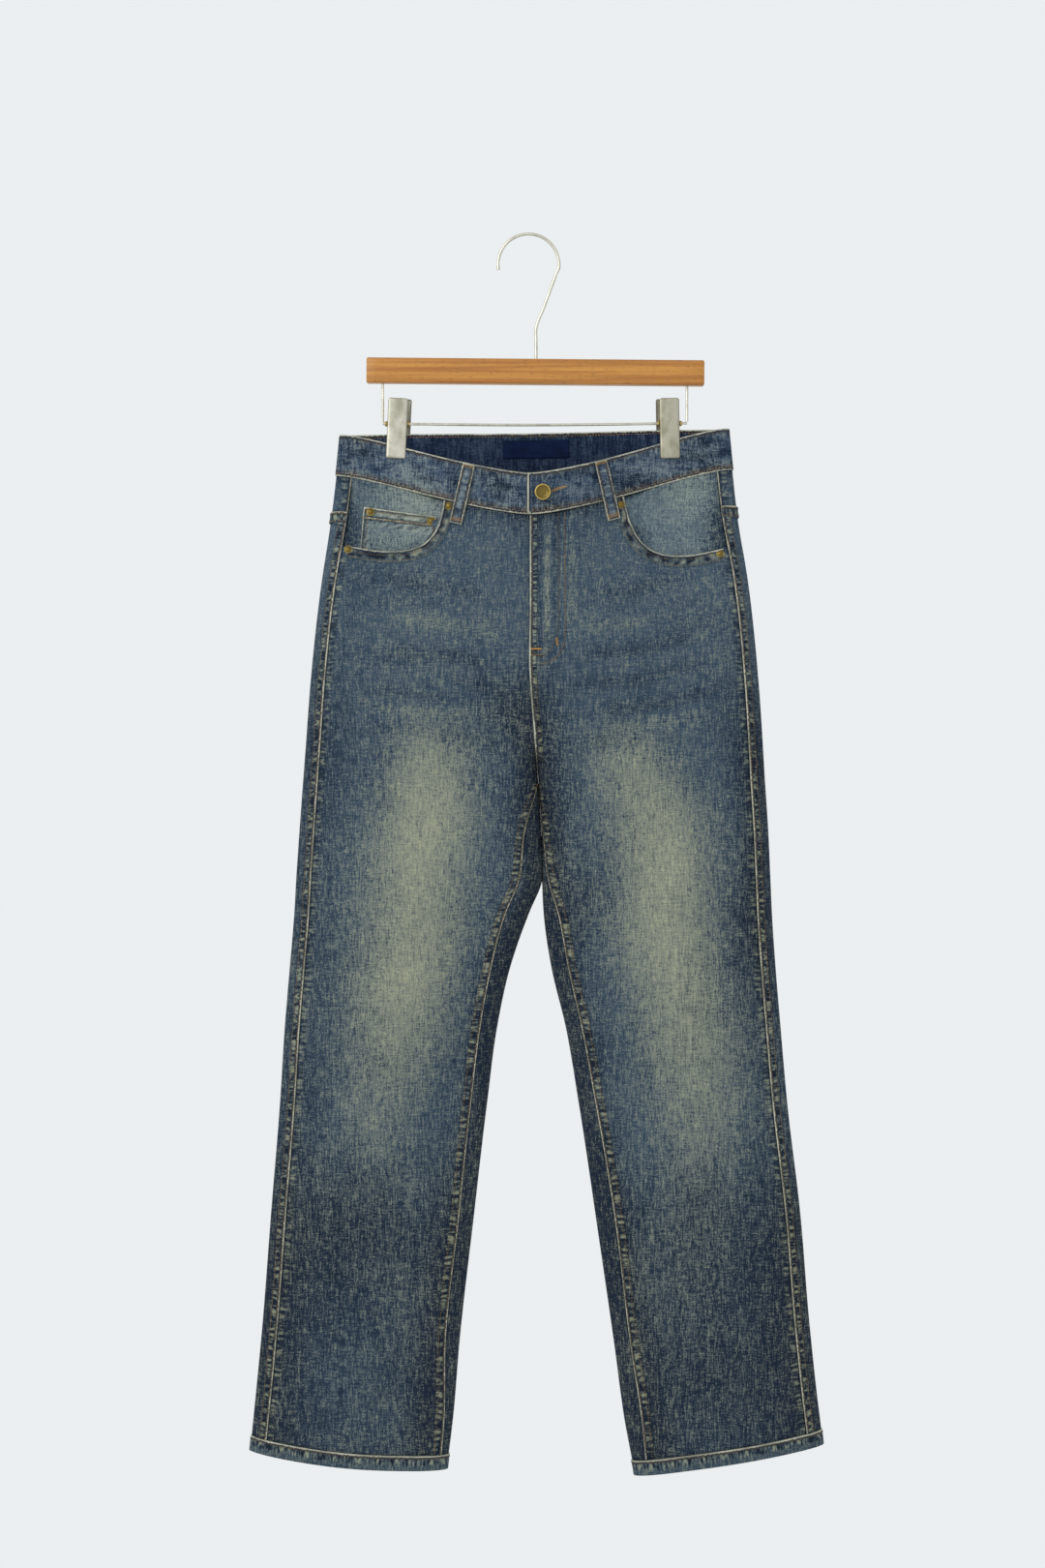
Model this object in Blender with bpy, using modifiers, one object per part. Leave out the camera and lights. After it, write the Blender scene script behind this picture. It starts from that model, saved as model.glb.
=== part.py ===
"""Five-pocket jeans hung by their waistband from a wooden hanger with two metal clips.

The cloth is a set of thin walls. Each half of the garment has sections that run round from the side fold
over the back to the inner fold, and every panel, pocket and band is cut from those sections. Sizes are in
millimetres, x runs to the wearer's left, y to the back, and "down" is measured from where the hook rests.
"""

import math

import bmesh
import bpy
import numpy as np
from mathutils import Vector
from mathutils.geometry import interpolate_bezier

MM = 0.001

# Cloth
DENIM = 1.3
BAND = 2.6
HEM = 3.4
SEAM_GAP = 0.3
BAND_GAP = 1.0
LAYER = DENIM + 0.45
INNER_LAYER = DENIM + 0.65

# Levels, down from the hook
WAIST_TOP = 203.0
WAIST_SEAM = 245.5
YOKE_SIDE = 283.0
YOKE_DROP = 46.0
CROTCH = 556.0
HEM_LEVEL = 1254.0
HEM_HEIGHT = 15.0

# How far below HEM_LEVEL each hem lies at its outer and its inner fold
HEM_DROP = {"right": (0.0, 19.0), "left": (-6.5, 25.5)}

# Waistband between the clips
CLIP_X = {"right": -142.5, "left": 139.0}
FRONT_SAG = 45.0
FRONT_BOW = 25.0
BACK_BOW = 9.0
HALF_WAIST = 200.0
WAIST_TILT = -0.0155
CLIP_PINCH = 1.5
SIDE_BULGE = 3.2
LAP_STEP = 1.7

# Seams
OUTSEAM_INSET = 16.0
FLY_LAP = 8.0
FLY_STEP = 1.3

# Hardware
BUTTON_DIAMETER = 17.0
RIVET_DIAMETER = 8.6
WIRE = 3.4
FRAME_WIRE = 2.8

SIGN = {"right": -1.0, "left": 1.0}

# One row for each level. out: side fold from the middle. in: inner fold or centre seam, wearer's left
# positive. half: half the depth. strip: how far the inner-leg seam lies in from the inner fold.
LEVEL_COLUMNS = "down out_right out_left in_right in_left half_right half_left strip_right strip_left"
LEVELS = np.array([
    (203, 200.5, 199.0, -5.4, -5.4, 18, 18, 0, 0),
    (248, 205.0, 203.5, -5.4, -5.4, 20, 20, 0, 0),
    (297, 211.0, 209.0, -5.4, -5.4, 24, 24, 0, 0),
    (357, 220.0, 219.0, -5.4, -5.4, 28, 28, 0, 0),
    (457, 231.0, 230.0, -5.4, -5.4, 30, 30, 0, 0),
    (530, 236.5, 235.0, 0.4, 0.4, 29, 29, 0, 0),
    (556, 238.5, 236.5, 2.8, 2.8, 28, 28, 0, 0),
    (617, 243.0, 240.5, 5.6, 6.4, 26, 26, 17, 2),
    (669, 246.5, 242.8, 5.6, 7.4, 26, 26, 24, 7),
    (697, 248.0, 244.0, -5.0, 8.5, 26, 26, 24, 14),
    (757, 253.0, 248.0, -26.0, 17.0, 26, 26, 19, 17),
    (817, 258.0, 253.0, -39.0, 31.5, 25, 26, 17, 16),
    (896, 263.0, 260.0, -49.5, 45.0, 24, 25, 16, 17),
    (1007, 272.0, 273.0, -63.0, 62.5, 23, 24, 15, 19),
    (1129, 281.5, 283.0, -78.0, 82.0, 22, 24, 14, 16),
    (1197, 288.0, 290.0, -84.0, 92.0, 21, 25, 9, 17),
    (1256, 294.0, 297.0, -91.0, 103.0, 21, 25, 7, 12),
    (1290, 297.5, 300.0, -94.0, 107.0, 21, 25, 7, 11),
], dtype=float)

# Rounding of the two folds, as the share of the section's width that curves in.
ROUNDING_COLUMNS = "down outer inner closed"
ROUNDING = np.array([
    (203, 0.03, 0.10, 0.0),
    (297, 0.07, 0.10, 0.0),
    (357, 0.12, 0.10, 0.0),
    (457, 0.25, 0.10, 0.0),
    (505, 0.30, 0.10, 0.0),
    (550, 0.34, 0.12, 1.0),
    (560, 0.35, 0.13, 1.0),
    (617, 0.42, 0.24, 1.0),
    (697, 0.48, 0.40, 1.0),
    (757, 0.50, 0.50, 1.0),
    (1290, 0.50, 0.50, 1.0),
], dtype=float)

# The largest folds. A fold runs from its top to its foot, and rise is outwards.
FOLD_COLUMNS = "side face x_top down_top x_foot down_foot width rise"
FOLDS = (
    ("right", "front", -150, 600, -168, 1120, 42, 4.0),
    ("right", "front", -62, 640, -98, 1010, 26, -4.0),
    ("right", "front", -12, 556, -112, 500, 15, -3.5),
    ("right", "front", -232, 980, -246, 1250, 22, -3.0),
    ("right", "front", -150, 1130, -140, 1262, 26, -3.0),
    ("left", "front", 150, 590, 168, 1080, 44, 4.5),
    ("left", "front", 72, 660, 104, 980, 26, -4.0),
    ("left", "front", 16, 560, 116, 506, 15, -3.5),
    ("left", "front", 214, 1000, 226, 1262, 26, 3.5),
    ("left", "front", 160, 1060, 152, 1262, 24, -4.0),
    ("right", "back", -24, 548, -120, 590, 18, -5.0),
    ("right", "back", -150, 640, -165, 1200, 36, -4.0),
    ("right", "back", -70, 820, -230, 850, 16, -2.5),
    ("left", "back", 30, 548, 128, 596, 18, -5.0),
    ("left", "back", 140, 650, 170, 1200, 36, -4.5),
    ("left", "back", 66, 830, 240, 856, 16, -2.5),
)

# Mouth of each hip pocket, one curve from the waistband seam to the outseam: (x, down) of its four handles.
POCKET_MOUTH = {
    "right": ((-92.0, 250.0), (-94.0, 321.0), (-112.0, 342.0), (-207.0, 319.0)),
    "left": ((88.0, 250.0), (97.0, 321.0), (112.0, 351.0), (207.0, 321.0)),
}
MOUTH_STEPS = 14
FACING_MARGIN = 13.0

PARTS = "jeans_on_clip_hanger"


def ramp(value, start, end):
    """0 before start, 1 after end, and a smooth step between."""
    t = np.clip((np.asarray(value, float) - start) / (end - start), 0.0, 1.0)
    return t * t * (3 - 2 * t)


def read(table, columns, name, down):
    """A column of a table at any level, as a smooth curve through its rows."""
    names = columns.split()
    xs = table[:, 0]
    ys = table[:, names.index(name)]
    slopes = np.gradient(ys, xs)
    down = np.clip(np.asarray(down, float), xs[0], xs[-1])
    i = np.clip(np.searchsorted(xs, down) - 1, 0, len(xs) - 2)
    step = xs[i + 1] - xs[i]
    t = (down - xs[i]) / step
    return (
        (2 * t**3 - 3 * t**2 + 1) * ys[i]
        + (t**3 - 2 * t**2 + t) * step * slopes[i]
        + (3 * t**2 - 2 * t**3) * ys[i + 1]
        + (t**3 - t**2) * step * slopes[i + 1]
    )


def level(name, down):
    return read(LEVELS, LEVEL_COLUMNS, name, down)


def rounding(name, down):
    return np.clip(read(ROUNDING, ROUNDING_COLUMNS, name, down), 0.0, 1.0)


def nose(p, width):
    """Depth of a fold, 0 at its edge and 1 from width inwards, round like an ellipse."""
    return np.sqrt(1 - (1 - np.clip(p / width, 0.0, 1.0)) ** 2)


def waist_depth(x, front):
    """How far the waistband's middle lies from the plane of the clips: pinched at them, bowed out between."""
    middle = (CLIP_X["right"] + CLIP_X["left"]) / 2
    reach = (CLIP_X["left"] - CLIP_X["right"]) / 2
    t = np.abs(x - middle) / reach
    bow = np.where(front, FRONT_BOW, BACK_BOW)
    between = bow * np.cos(math.pi / 2 * np.clip(t * 1.05 - 0.05, 0, 1)) ** 2
    beyond = SIDE_BULGE * ramp(t, 1.08, 1.42)
    return CLIP_PINCH + np.where(t < 1, between, beyond)


def sag(x, front):
    """How much lower the front of the waist hangs than the line between its two side folds."""
    t = np.clip(np.abs(x + 3) / HALF_WAIST, 0, 1)
    return np.where(front, FRONT_SAG * (1 - t**1.5) ** 1.5, 0.0) + WAIST_TILT * x


def waist_share(down):
    return 1 - ramp(down, WAIST_SEAM + 10, 480)


def hem_slant(side, p, down):
    """How much lower the cloth hangs than its level towards the hem, which isn't square to the leg."""
    outer, inner = HEM_DROP[side]
    share = 1 - (1 - p) ** 2 if side == "right" else p
    return (outer + (inner - outer) * share) * ramp(down, 900, HEM_LEVEL)


def fold_rise(side, front, x, down):
    """Sum of the folds at a point of one half's front or back."""
    total = np.zeros(np.broadcast(x, down).shape)
    for fold in FOLDS:
        row = dict(zip(FOLD_COLUMNS.split(), fold))
        if row["side"] != side:
            continue
        run_x = row["x_foot"] - row["x_top"]
        run_down = row["down_foot"] - row["down_top"]
        length = math.hypot(run_x, run_down)
        along = ((x - row["x_top"]) * run_x + (down - row["down_top"]) * run_down) / length
        across = ((x - row["x_top"]) * run_down - (down - row["down_top"]) * run_x) / length
        end = min(90.0, length / 2.5)
        shape = np.exp(-((across / row["width"]) ** 2)) * ramp(along, 0, end)
        shape = shape * (1 - ramp(along, length - end, length + 20))
        total = total + np.where(front == (row["face"] == "front"), row["rise"] * shape, 0.0)
    return total


def inner_x(side, down):
    """Where the inner fold or centre seam of one half lies, clear of the other half."""
    apart = SEAM_GAP + (DENIM / 2 + 0.15) * ramp(down, 498, 528)
    return level("in_" + side, down) + SIGN[side] * apart


def section_point(side, angle, down):
    """Points on the middle of the cloth of one half.

    The angle runs round the section: 0 at the side fold, pi at the inner fold or centre seam. From 0 to pi
    it lies on the back, and outside that on the front.
    """
    angle, down = np.broadcast_arrays(np.asarray(angle, float), np.asarray(down, float))
    outer = SIGN[side] * level("out_" + side, down)
    inner = inner_x(side, down)
    half = level("half_" + side, down)
    p = (1 - np.cos(angle)) / 2
    front = (angle < 0) | (angle > math.pi)
    x = outer + (inner - outer) * p
    closed = rounding("closed", down)
    closed = np.where(front, closed**2, closed)
    outer_nose = nose(p, rounding("outer", down))
    inner_nose = 1 - closed * (1 - nose(1 - p, rounding("inner", down)))
    body = half * outer_nose * inner_nose
    waist = waist_depth(x, front) * nose(p, 0.03)
    opened = np.sin(math.pi / 2 * np.clip((down - WAIST_SEAM) / 180, 0, 1))
    depth = waist + (body - waist) * opened
    edge = np.clip(np.minimum(p, np.where(closed > 0.5, 1 - p, 1.0)) / 0.12, 0, 1)
    depth = depth + fold_rise(side, front, x, down) * edge
    y = np.where(front, -depth, depth)
    near_centre = ramp(p, 0.9, 0.985) * (angle < 0)
    y = y - SIGN[side] * FLY_STEP * near_centre * (1 - ramp(down, 520, 550))
    if side == "right":
        x = x + FLY_LAP * near_centre * (1 - ramp(down, 470, 530))
    drop = down + waist_share(down) * sag(x, front) + hem_slant(side, p, down)
    return np.stack([x, y, -drop], axis=-1)


def angle_of_inset(side, inset, down):
    """The angle, from a fold, at which the section lies inset millimetres in from it."""
    width = np.abs(inner_x(side, down) - SIGN[side] * level("out_" + side, down))
    return np.arccos(1 - 2 * np.clip(inset / width, 0, 1))


def outseam_angle(side, down):
    return angle_of_inset(side, OUTSEAM_INSET, down)


def inseam_angle(side, down):
    return angle_of_inset(side, np.maximum(level("strip_" + side, down), 0), down)


class Panel:
    """One cut piece of cloth: a grid of points round the section (columns) and down the garment (rows)."""

    def __init__(self, side, rows, columns, first, last, shift=None):
        self.side = side
        self.rows = np.asarray(rows, float)
        self.columns = columns
        self.first = first
        self.last = last
        self.shift = shift or (lambda angle, down: np.zeros(np.broadcast(angle, down).shape))
        share = np.linspace(0, 1, columns + 1)
        base = self.rows[:, None]
        angle = first(base) + (last(base) - first(base)) * share
        self.points = section_point(side, angle, base + self.shift(angle, base))
        across = np.gradient(self.points, axis=1)
        along = np.gradient(self.points, axis=0)
        turn = np.sign(last(base[-1]) - first(base[-1]))
        outwards = -turn * SIGN[side] * np.cross(across, along)
        self.normals = outwards / np.linalg.norm(outwards, axis=-1, keepdims=True)

    def at(self, angle, down, out):
        """Points out from the panel's own facets, at section angles and levels."""
        base = np.asarray(down, float)
        for _ in range(12):
            base = down - self.shift(angle, base)
        i = np.interp(base, self.rows, np.arange(len(self.rows)))
        j = (angle - self.first(base)) / (self.last(base) - self.first(base)) * self.columns
        j = np.clip(j, 0, self.columns)
        i0 = np.clip(np.floor(i).astype(int), 0, len(self.rows) - 2)
        j0 = np.clip(np.floor(j).astype(int), 0, self.columns - 1)
        fi = (i - i0)[..., None]
        fj = (j - j0)[..., None]

        def mix(grid):
            top = grid[i0, j0] * (1 - fj) + grid[i0, j0 + 1] * fj
            foot = grid[i0 + 1, j0] * (1 - fj) + grid[i0 + 1, j0 + 1] * fj
            return top * (1 - fi) + foot * fi

        return mix(self.points) + mix(self.normals) * np.asarray(out, float)[..., None]

    def at_xy(self, x, down, out, face="front"):
        """Points out from the panel where it is seen at x and down, both measured on the hung garment.

        out is a distance, or a function of x and the level that gives one.
        """
        x = np.asarray(x, float)
        down = np.asarray(down, float)
        front = face == "front"
        base = down.copy()
        for _ in range(30):
            outer = SIGN[self.side] * level("out_" + self.side, base)
            inner = inner_x(self.side, base)
            p = np.clip((x - outer) / (inner - outer), 0.0, 1.0)
            base = down - waist_share(base) * sag(x, front) - hem_slant(self.side, p, base)
        angle = np.arccos(1 - 2 * p)
        return self.at(-angle if front else angle, base, out(x, base) if callable(out) else out)


def make_material(name, colour, roughness, metallic=0.0):
    material = bpy.data.materials.new(name)
    material.use_nodes = True
    shader = material.node_tree.nodes["Principled BSDF"]
    shader.inputs["Base Color"].default_value = (*colour, 1.0)
    shader.inputs["Roughness"].default_value = roughness
    shader.inputs["Metallic"].default_value = metallic
    material.diffuse_color = (*colour, 1.0)
    return material


def add_object(name, mesh, material, collection):
    mesh.materials.append(material)
    obj = bpy.data.objects.new(name, mesh)
    collection.objects.link(obj)
    return obj


def cloth_from_grid(name, points, thickness, material, collection, ring=False):
    """A wall of even thickness about a grid of points in millimetres. A ring closes on itself."""
    rows, columns = points.shape[:2]
    mesh = bpy.data.meshes.new(name)
    shape = bmesh.new()
    verts = [[shape.verts.new(Vector(point) * MM) for point in row] for row in points]
    for i in range(rows - 1):
        for j in range(columns if ring else columns - 1):
            k = (j + 1) % columns
            shape.faces.new((verts[i][j], verts[i][k], verts[i + 1][k], verts[i + 1][j]))
    bmesh.ops.recalc_face_normals(shape, faces=shape.faces)
    shape.to_mesh(mesh)
    shape.free()
    mesh.shade_smooth()
    obj = add_object(name, mesh, material, collection)
    solidify = obj.modifiers.new("Wall", "SOLIDIFY")
    solidify.thickness = thickness * MM
    solidify.offset = 0.0
    solidify.use_even_offset = True
    solidify.use_quality_normals = True
    return obj


def panel_rows(top, above):
    """Levels of a panel's rows: even over the hips, close together round the crotch, even down the leg."""
    foot = HEM_LEVEL - HEM_HEIGHT - SEAM_GAP
    crotch_rows = [505, 530, 548, 560, 575, 600, 635, 669, 697]
    hips = np.linspace(top, crotch_rows[0], above + 1)[:-1]
    leg = np.linspace(crotch_rows[-1], foot, 18)[1:]
    return [*hips, *crotch_rows, *leg]


def beside(side, angle, down, gap):
    """The angle that lies gap millimetres along the cloth before the given one."""
    step = 0.01
    here = section_point(side, angle, down)
    before = section_point(side, angle - step, down)
    return angle - gap * step / np.linalg.norm(here - before, axis=-1)


def front_panel(side):
    rows = panel_rows(WAIST_SEAM + BAND_GAP, 8)
    return Panel(
        side, rows, 10,
        first=lambda down: beside(side, -outseam_angle(side, down), down, 0.45),
        last=lambda down: -math.pi + inseam_angle(side, down),
    )


def seat_end(side, down):
    """Where the back panel ends: at the centre seam above the crotch and the inner-leg seam below it."""
    seam = math.pi + inseam_angle(side, down)
    gap = 0.7 + 0.5 * (1 - ramp(down, 600, 760))
    return beside(side, seam, down, gap * ramp(down, 520, 545))


def yoke_shift(angle, down):
    p = (1 - np.cos(np.clip(angle, 0, math.pi))) / 2
    return YOKE_DROP * p * (1 - ramp(down, YOKE_SIDE, CROTCH - 20))


def back_panel(side):
    rows = panel_rows(YOKE_SIDE + SEAM_GAP, 7)
    return Panel(
        side, rows, 20,
        first=lambda down: -outseam_angle(side, down),
        last=lambda down: seat_end(side, down),
        shift=yoke_shift,
    )


def yoke_panel(side):
    rows = np.linspace(0, 1, 4)
    top = WAIST_SEAM + BAND_GAP

    def shift(angle, row):
        foot = YOKE_SIDE - SEAM_GAP + yoke_shift(angle, np.full(np.shape(angle), YOKE_SIDE))
        return top + (foot - top) * row - row

    return Panel(
        side, rows, 14,
        first=lambda row: -outseam_angle(side, YOKE_SIDE + 0 * row),
        last=lambda row: np.full(np.shape(row), math.pi),
        shift=shift,
    )


def waistband_points():
    """The strip from its upper end at the fly, round the left side, the back and the right side."""
    upper_end, lower_end = -8.0, 24.0
    fold_steps = np.array([1.2, 4.5, 9.0, 16.0])
    left_x, right_x = 199.5, -201.0
    clips = [CLIP_X["right"] - 12, CLIP_X["right"] + 12, CLIP_X["left"] - 12, CLIP_X["left"] + 12]
    across = sorted(list(np.linspace(right_x + 24, left_x - 24, 15)) + clips)
    left_front = [x for x in across if x > lower_end + 10]
    right_front = [x for x in across if x < upper_end - 8]
    front_left = [upper_end, 8.0, lower_end + 4, *left_front]
    around_left = [*(left_x - fold_steps[::-1]), left_x, *(left_x - fold_steps)]
    back = across[::-1]
    around_right = [*(right_x + fold_steps[::-1]), right_x, *(right_x + fold_steps)]
    front_right = [*right_front, upper_end - 2, 8.0, lower_end]
    path = [(x, True, "upper") for x in front_left]
    path += [(x, i < len(fold_steps), "upper") for i, x in enumerate(around_left)]
    path += [(x, False, "back") for x in back]
    path += [(x, i > len(fold_steps), "lower") for i, x in enumerate(around_right)]
    path += [(x, True, "lower") for x in front_right]
    points = []
    for down in (WAIST_TOP, (WAIST_TOP + WAIST_SEAM) / 2, WAIST_SEAM):
        row = []
        for x, front, layer in path:
            edge = left_x if x > 0 else right_x
            spread = (down - WAIST_TOP) * 0.1 * abs(x) / HALF_WAIST
            p = abs(edge - x) / HALF_WAIST
            y = float(waist_depth(np.array(x), front) * nose(np.array(p), 0.04))
            if layer == "upper":
                y += LAP_STEP * float(1 - ramp(x, lower_end, 70))
            elif layer == "lower":
                y -= LAP_STEP * float(ramp(x, -60, upper_end))
            drop = down + float(sag(np.array(x), front))
            row.append((x + math.copysign(spread, x), -y if front else y, -drop))
        points.append(row)
    return np.array(points)


def band_surface(x, down, front, out):
    """A point out from the waistband's middle, at x and a level between its top and its seam."""
    spread = (down - WAIST_TOP) * 0.1 * abs(x) / HALF_WAIST
    y = float(waist_depth(np.array(x), front))
    drop = down + float(sag(np.array(x), front))
    return Vector((x + math.copysign(spread, x), -(y + out) if front else y + out, -drop))


def panel_depth(x, down, front):
    """How far the cloth below the waistband lies from the plane of the clips, at x and a level."""
    side = "left" if x > level("in_left", down) else "right"
    outer = SIGN[side] * level("out_" + side, down)
    p = np.clip((x - outer) / (inner_x(side, down) - outer), 0, 1)
    angle = np.arccos(1 - 2 * p)
    return abs(float(section_point(side, -angle if front else angle, down)[1]))


def belt_loop(name, x, lean, front, material, collection):
    """A strip 12 mm wide that stands off the waistband between its two bartacks."""
    width, thickness, steps = 12.0, 1.8, 8
    level_top, level_foot = WAIST_TOP + 1.2, WAIST_SEAM + 22
    clearance = SEAM_GAP + 0.25 + thickness / 2
    points = []
    for i in range(steps + 1):
        share = i / steps
        down = level_top + (level_foot - level_top) * share
        stand = 2.2 * float(ramp(share, 0.05, 0.3) - ramp(share, 0.65, 0.88))
        row = []
        for offset in (-width / 2, 0.0, width / 2):
            at = x + lean * (share - 0.5) + offset
            seat = BAND / 2
            if down > WAIST_SEAM:
                rise = panel_depth(at, down, front) - float(waist_depth(np.array(at), front))
                seat = max(seat, rise + DENIM / 2 + 0.2)
            row.append(band_surface(at, down, front, seat + clearance + stand))
        points.append(row)
    return cloth_from_grid(name, np.array(points), thickness, material, collection)


def patch(panel, xs, downs, out, face="front"):
    return panel.at_xy(np.asarray(xs, float), np.asarray(downs, float), out, face)


def quad_patch(panel, corners, out, columns, rows, face="front", point=0.0):
    """A four-cornered piece on a panel: its corners are (x, down), from the top outer one round."""
    u = np.linspace(0, 1, columns + 1)[None, :]
    v = np.linspace(0, 1, rows + 1)[:, None]
    a, b, c, d = (np.array(corner, float) for corner in corners)
    at = [(1 - u) * (1 - v) * a[k] + u * (1 - v) * b[k] + u * v * c[k] + (1 - u) * v * d[k] for k in (0, 1)]
    at[1] = at[1] + point * v**2 * (1 - np.abs(2 * u - 1))
    return patch(panel, at[0], at[1], out, face)


def mouth_curve(side):
    handles = [Vector((x, down, 0)) for x, down in POCKET_MOUTH[side]]
    return [(point.x, point.y) for point in interpolate_bezier(*handles, MOUTH_STEPS)]


def facing_depth(x, down):
    """How far the pocket's facing lies under the front: two layers, and none where the clip pinches it."""
    below_clip = ramp(down, 248, 266)
    beside_mouth = 1 - ramp(np.abs(x), 100, 122)
    return -2 * INNER_LAYER * np.maximum(below_clip, beside_mouth)


def coin_depth(x, down):
    return facing_depth(x, down) + INNER_LAYER


def mouth_cutter(side, collection):
    """A prism through the front that takes away the cloth above and outside the pocket's mouth."""
    outline = mouth_curve(side)
    far = SIGN[side] * 260
    outline += [(far, outline[-1][1]), (far, 190.0), (outline[0][0], 190.0)]
    mesh = bpy.data.meshes.new("mouth_cutter_" + side)
    shape = bmesh.new()
    face = shape.faces.new([shape.verts.new((x * MM, -0.08, -down * MM)) for x, down in outline])
    made = bmesh.ops.extrude_face_region(shape, geom=[face])
    moved = [item for item in made["geom"] if isinstance(item, bmesh.types.BMVert)]
    bmesh.ops.translate(shape, verts=moved, vec=(0, 0.16, 0))
    bmesh.ops.recalc_face_normals(shape, faces=shape.faces)
    shape.to_mesh(mesh)
    shape.free()
    cutter = bpy.data.objects.new("mouth_cutter_" + side, mesh)
    cutter.display_type = "WIRE"
    cutter.hide_render = True
    collection.objects.link(cutter)
    return cutter


def cut(obj, cutter):
    boolean = obj.modifiers.new("Cut", "BOOLEAN")
    boolean.operation = "DIFFERENCE"
    boolean.object = cutter


def turned(name, profile, steps, material, collection):
    """A turned piece about Z, from a profile of (radius, height) that runs down its outer side."""
    mesh = bpy.data.meshes.new(name)
    points = [(radius * MM, 0, height * MM) for radius, height in profile]
    mesh.from_pydata(points, [(i, i + 1) for i in range(len(points) - 1)], [])
    obj = add_object(name, mesh, material, collection)
    screw = obj.modifiers.new("Turn", "SCREW")
    screw.steps = steps
    screw.render_steps = steps
    screw.use_merge_vertices = True
    screw.merge_threshold = 0.00001
    screw.use_smooth_shade = True
    return obj


def stand_on(obj, point, normal):
    """Puts a turned piece at a point in millimetres with its axis along a normal."""
    obj.rotation_mode = "QUATERNION"
    obj.rotation_quaternion = Vector(normal).to_track_quat("Z", "Y")
    obj.location = Vector(point) * MM


def front_normal(panel, x, down, out):
    a = patch(panel, [x - 4, x + 4], [down, down], out)
    b = patch(panel, [x, x], [down - 4, down + 4], out)
    normal = Vector(a[1] - a[0]).cross(Vector(b[1] - b[0])).normalized()
    return normal if normal.y < 0 else -normal


def rivet(name, panel, x, down, out, material, collection):
    """A domed rivet seated on a panel, or on the piece that lies out from it by a distance or a function."""
    radius = RIVET_DIAMETER / 2
    profile = [
        (0, 2.1), (radius * 0.45, 1.95), (radius * 0.8, 1.4), (radius * 0.97, 0.6), (radius, 0.0), (0, 0.0),
    ]
    obj = turned(name, profile, 14, material, collection)
    seat = patch(panel, [x], [down], out)[0]
    normal = front_normal(panel, x, down, out)
    clearance = SEAM_GAP + (0.35 if callable(out) else 0.15)
    stand_on(obj, Vector(seat) + normal * (DENIM / 2 + clearance), normal)


def wire(name, points, diameter, material, collection):
    curve = bpy.data.curves.new(name, "CURVE")
    curve.dimensions = "3D"
    curve.bevel_depth = diameter / 2 * MM
    curve.bevel_resolution = 2
    curve.use_fill_caps = True
    spline = curve.splines.new("POLY")
    spline.points.add(len(points) - 1)
    for item, point in zip(spline.points, points):
        item.co = (*(Vector(point) * MM), 1)
    return add_object(name, curve, material, collection)


def plate(name, size, centre, turn, bevel, material, collection):
    """A flat or square piece with rounded edges: size and centre in millimetres, turned about Y."""
    mesh = bpy.data.meshes.new(name)
    shape = bmesh.new()
    bmesh.ops.create_cube(shape, size=1.0)
    bmesh.ops.scale(shape, vec=Vector(size) * MM, verts=shape.verts)
    shape.to_mesh(mesh)
    shape.free()
    obj = add_object(name, mesh, material, collection)
    obj.rotation_euler = (0, turn, 0)
    obj.location = Vector(centre) * MM
    if bevel:
        edges = obj.modifiers.new("Edges", "BEVEL")
        edges.width = bevel * MM
        edges.segments = 2
    return obj


def build_panels(collection, cutters, denim, inside):
    """Fronts, backs, yokes, facings and leg hems of both halves. Returns the fronts and backs by side."""
    fronts, backs = {}, {}
    for side in ("right", "left"):
        front = front_panel(side)
        fronts[side] = front
        body = cloth_from_grid("front_" + side, front.points, DENIM, denim, collection)
        cut(body, mouth_cutter(side, cutters))
        back = back_panel(side)
        backs[side] = back
        cloth_from_grid("back_" + side, back.points, DENIM, denim, collection)
        cloth_from_grid("yoke_" + side, yoke_panel(side).points, DENIM, denim, collection)
        mouth = mouth_curve(side)
        facing_x = mouth[0][0] - SIGN[side] * FACING_MARGIN
        foot = max(down for _, down in mouth) + FACING_MARGIN
        rows = np.linspace(WAIST_SEAM + BAND_GAP, foot, 7)[:, None]
        start = -outseam_angle(side, rows)
        width = np.abs(inner_x(side, rows) - SIGN[side] * level("out_" + side, rows))
        reach = np.abs(facing_x - SIGN[side] * level("out_" + side, rows))
        end = -np.arccos(1 - 2 * reach / width)
        angle = start + (end - start) * np.linspace(0, 1, 8)[None, :]
        downs = np.broadcast_to(rows, angle.shape)
        x = section_point(side, angle, downs)[..., 0]
        facing = front.at(angle, downs, facing_depth(x, downs))
        cloth_from_grid("pocket_facing_" + side, facing, DENIM, inside, collection)
        around = np.linspace(0, 2 * math.pi, 27)[:-1][None, :]
        downs = np.array([HEM_LEVEL - HEM_HEIGHT, HEM_LEVEL - HEM_HEIGHT / 2, HEM_LEVEL])[:, None]
        ring = section_point(side, around, downs)
        cloth_from_grid("hem_" + side, ring, HEM, denim, collection, ring=True)
    return fronts, backs


def build_pockets(collection, fronts, backs, denim):
    coin = ((-176.5, 280.5), (-102.0, 290.8), (-103.5, 337.0), (-180.5, 337.0))
    points = quad_patch(fronts["right"], coin, coin_depth, 6, 5)
    cloth_from_grid("coin_pocket", points, DENIM, denim, collection)
    for side in ("right", "left"):
        s = SIGN[side]
        corners = ((s * 182, 352), (s * 34, 362), (s * 44, 494), (s * 172, 486))
        points = quad_patch(backs[side], corners, LAYER + 0.4, 8, 7, face="back", point=24)
        cloth_from_grid("back_pocket_" + side, points, DENIM, denim, collection)


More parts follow.
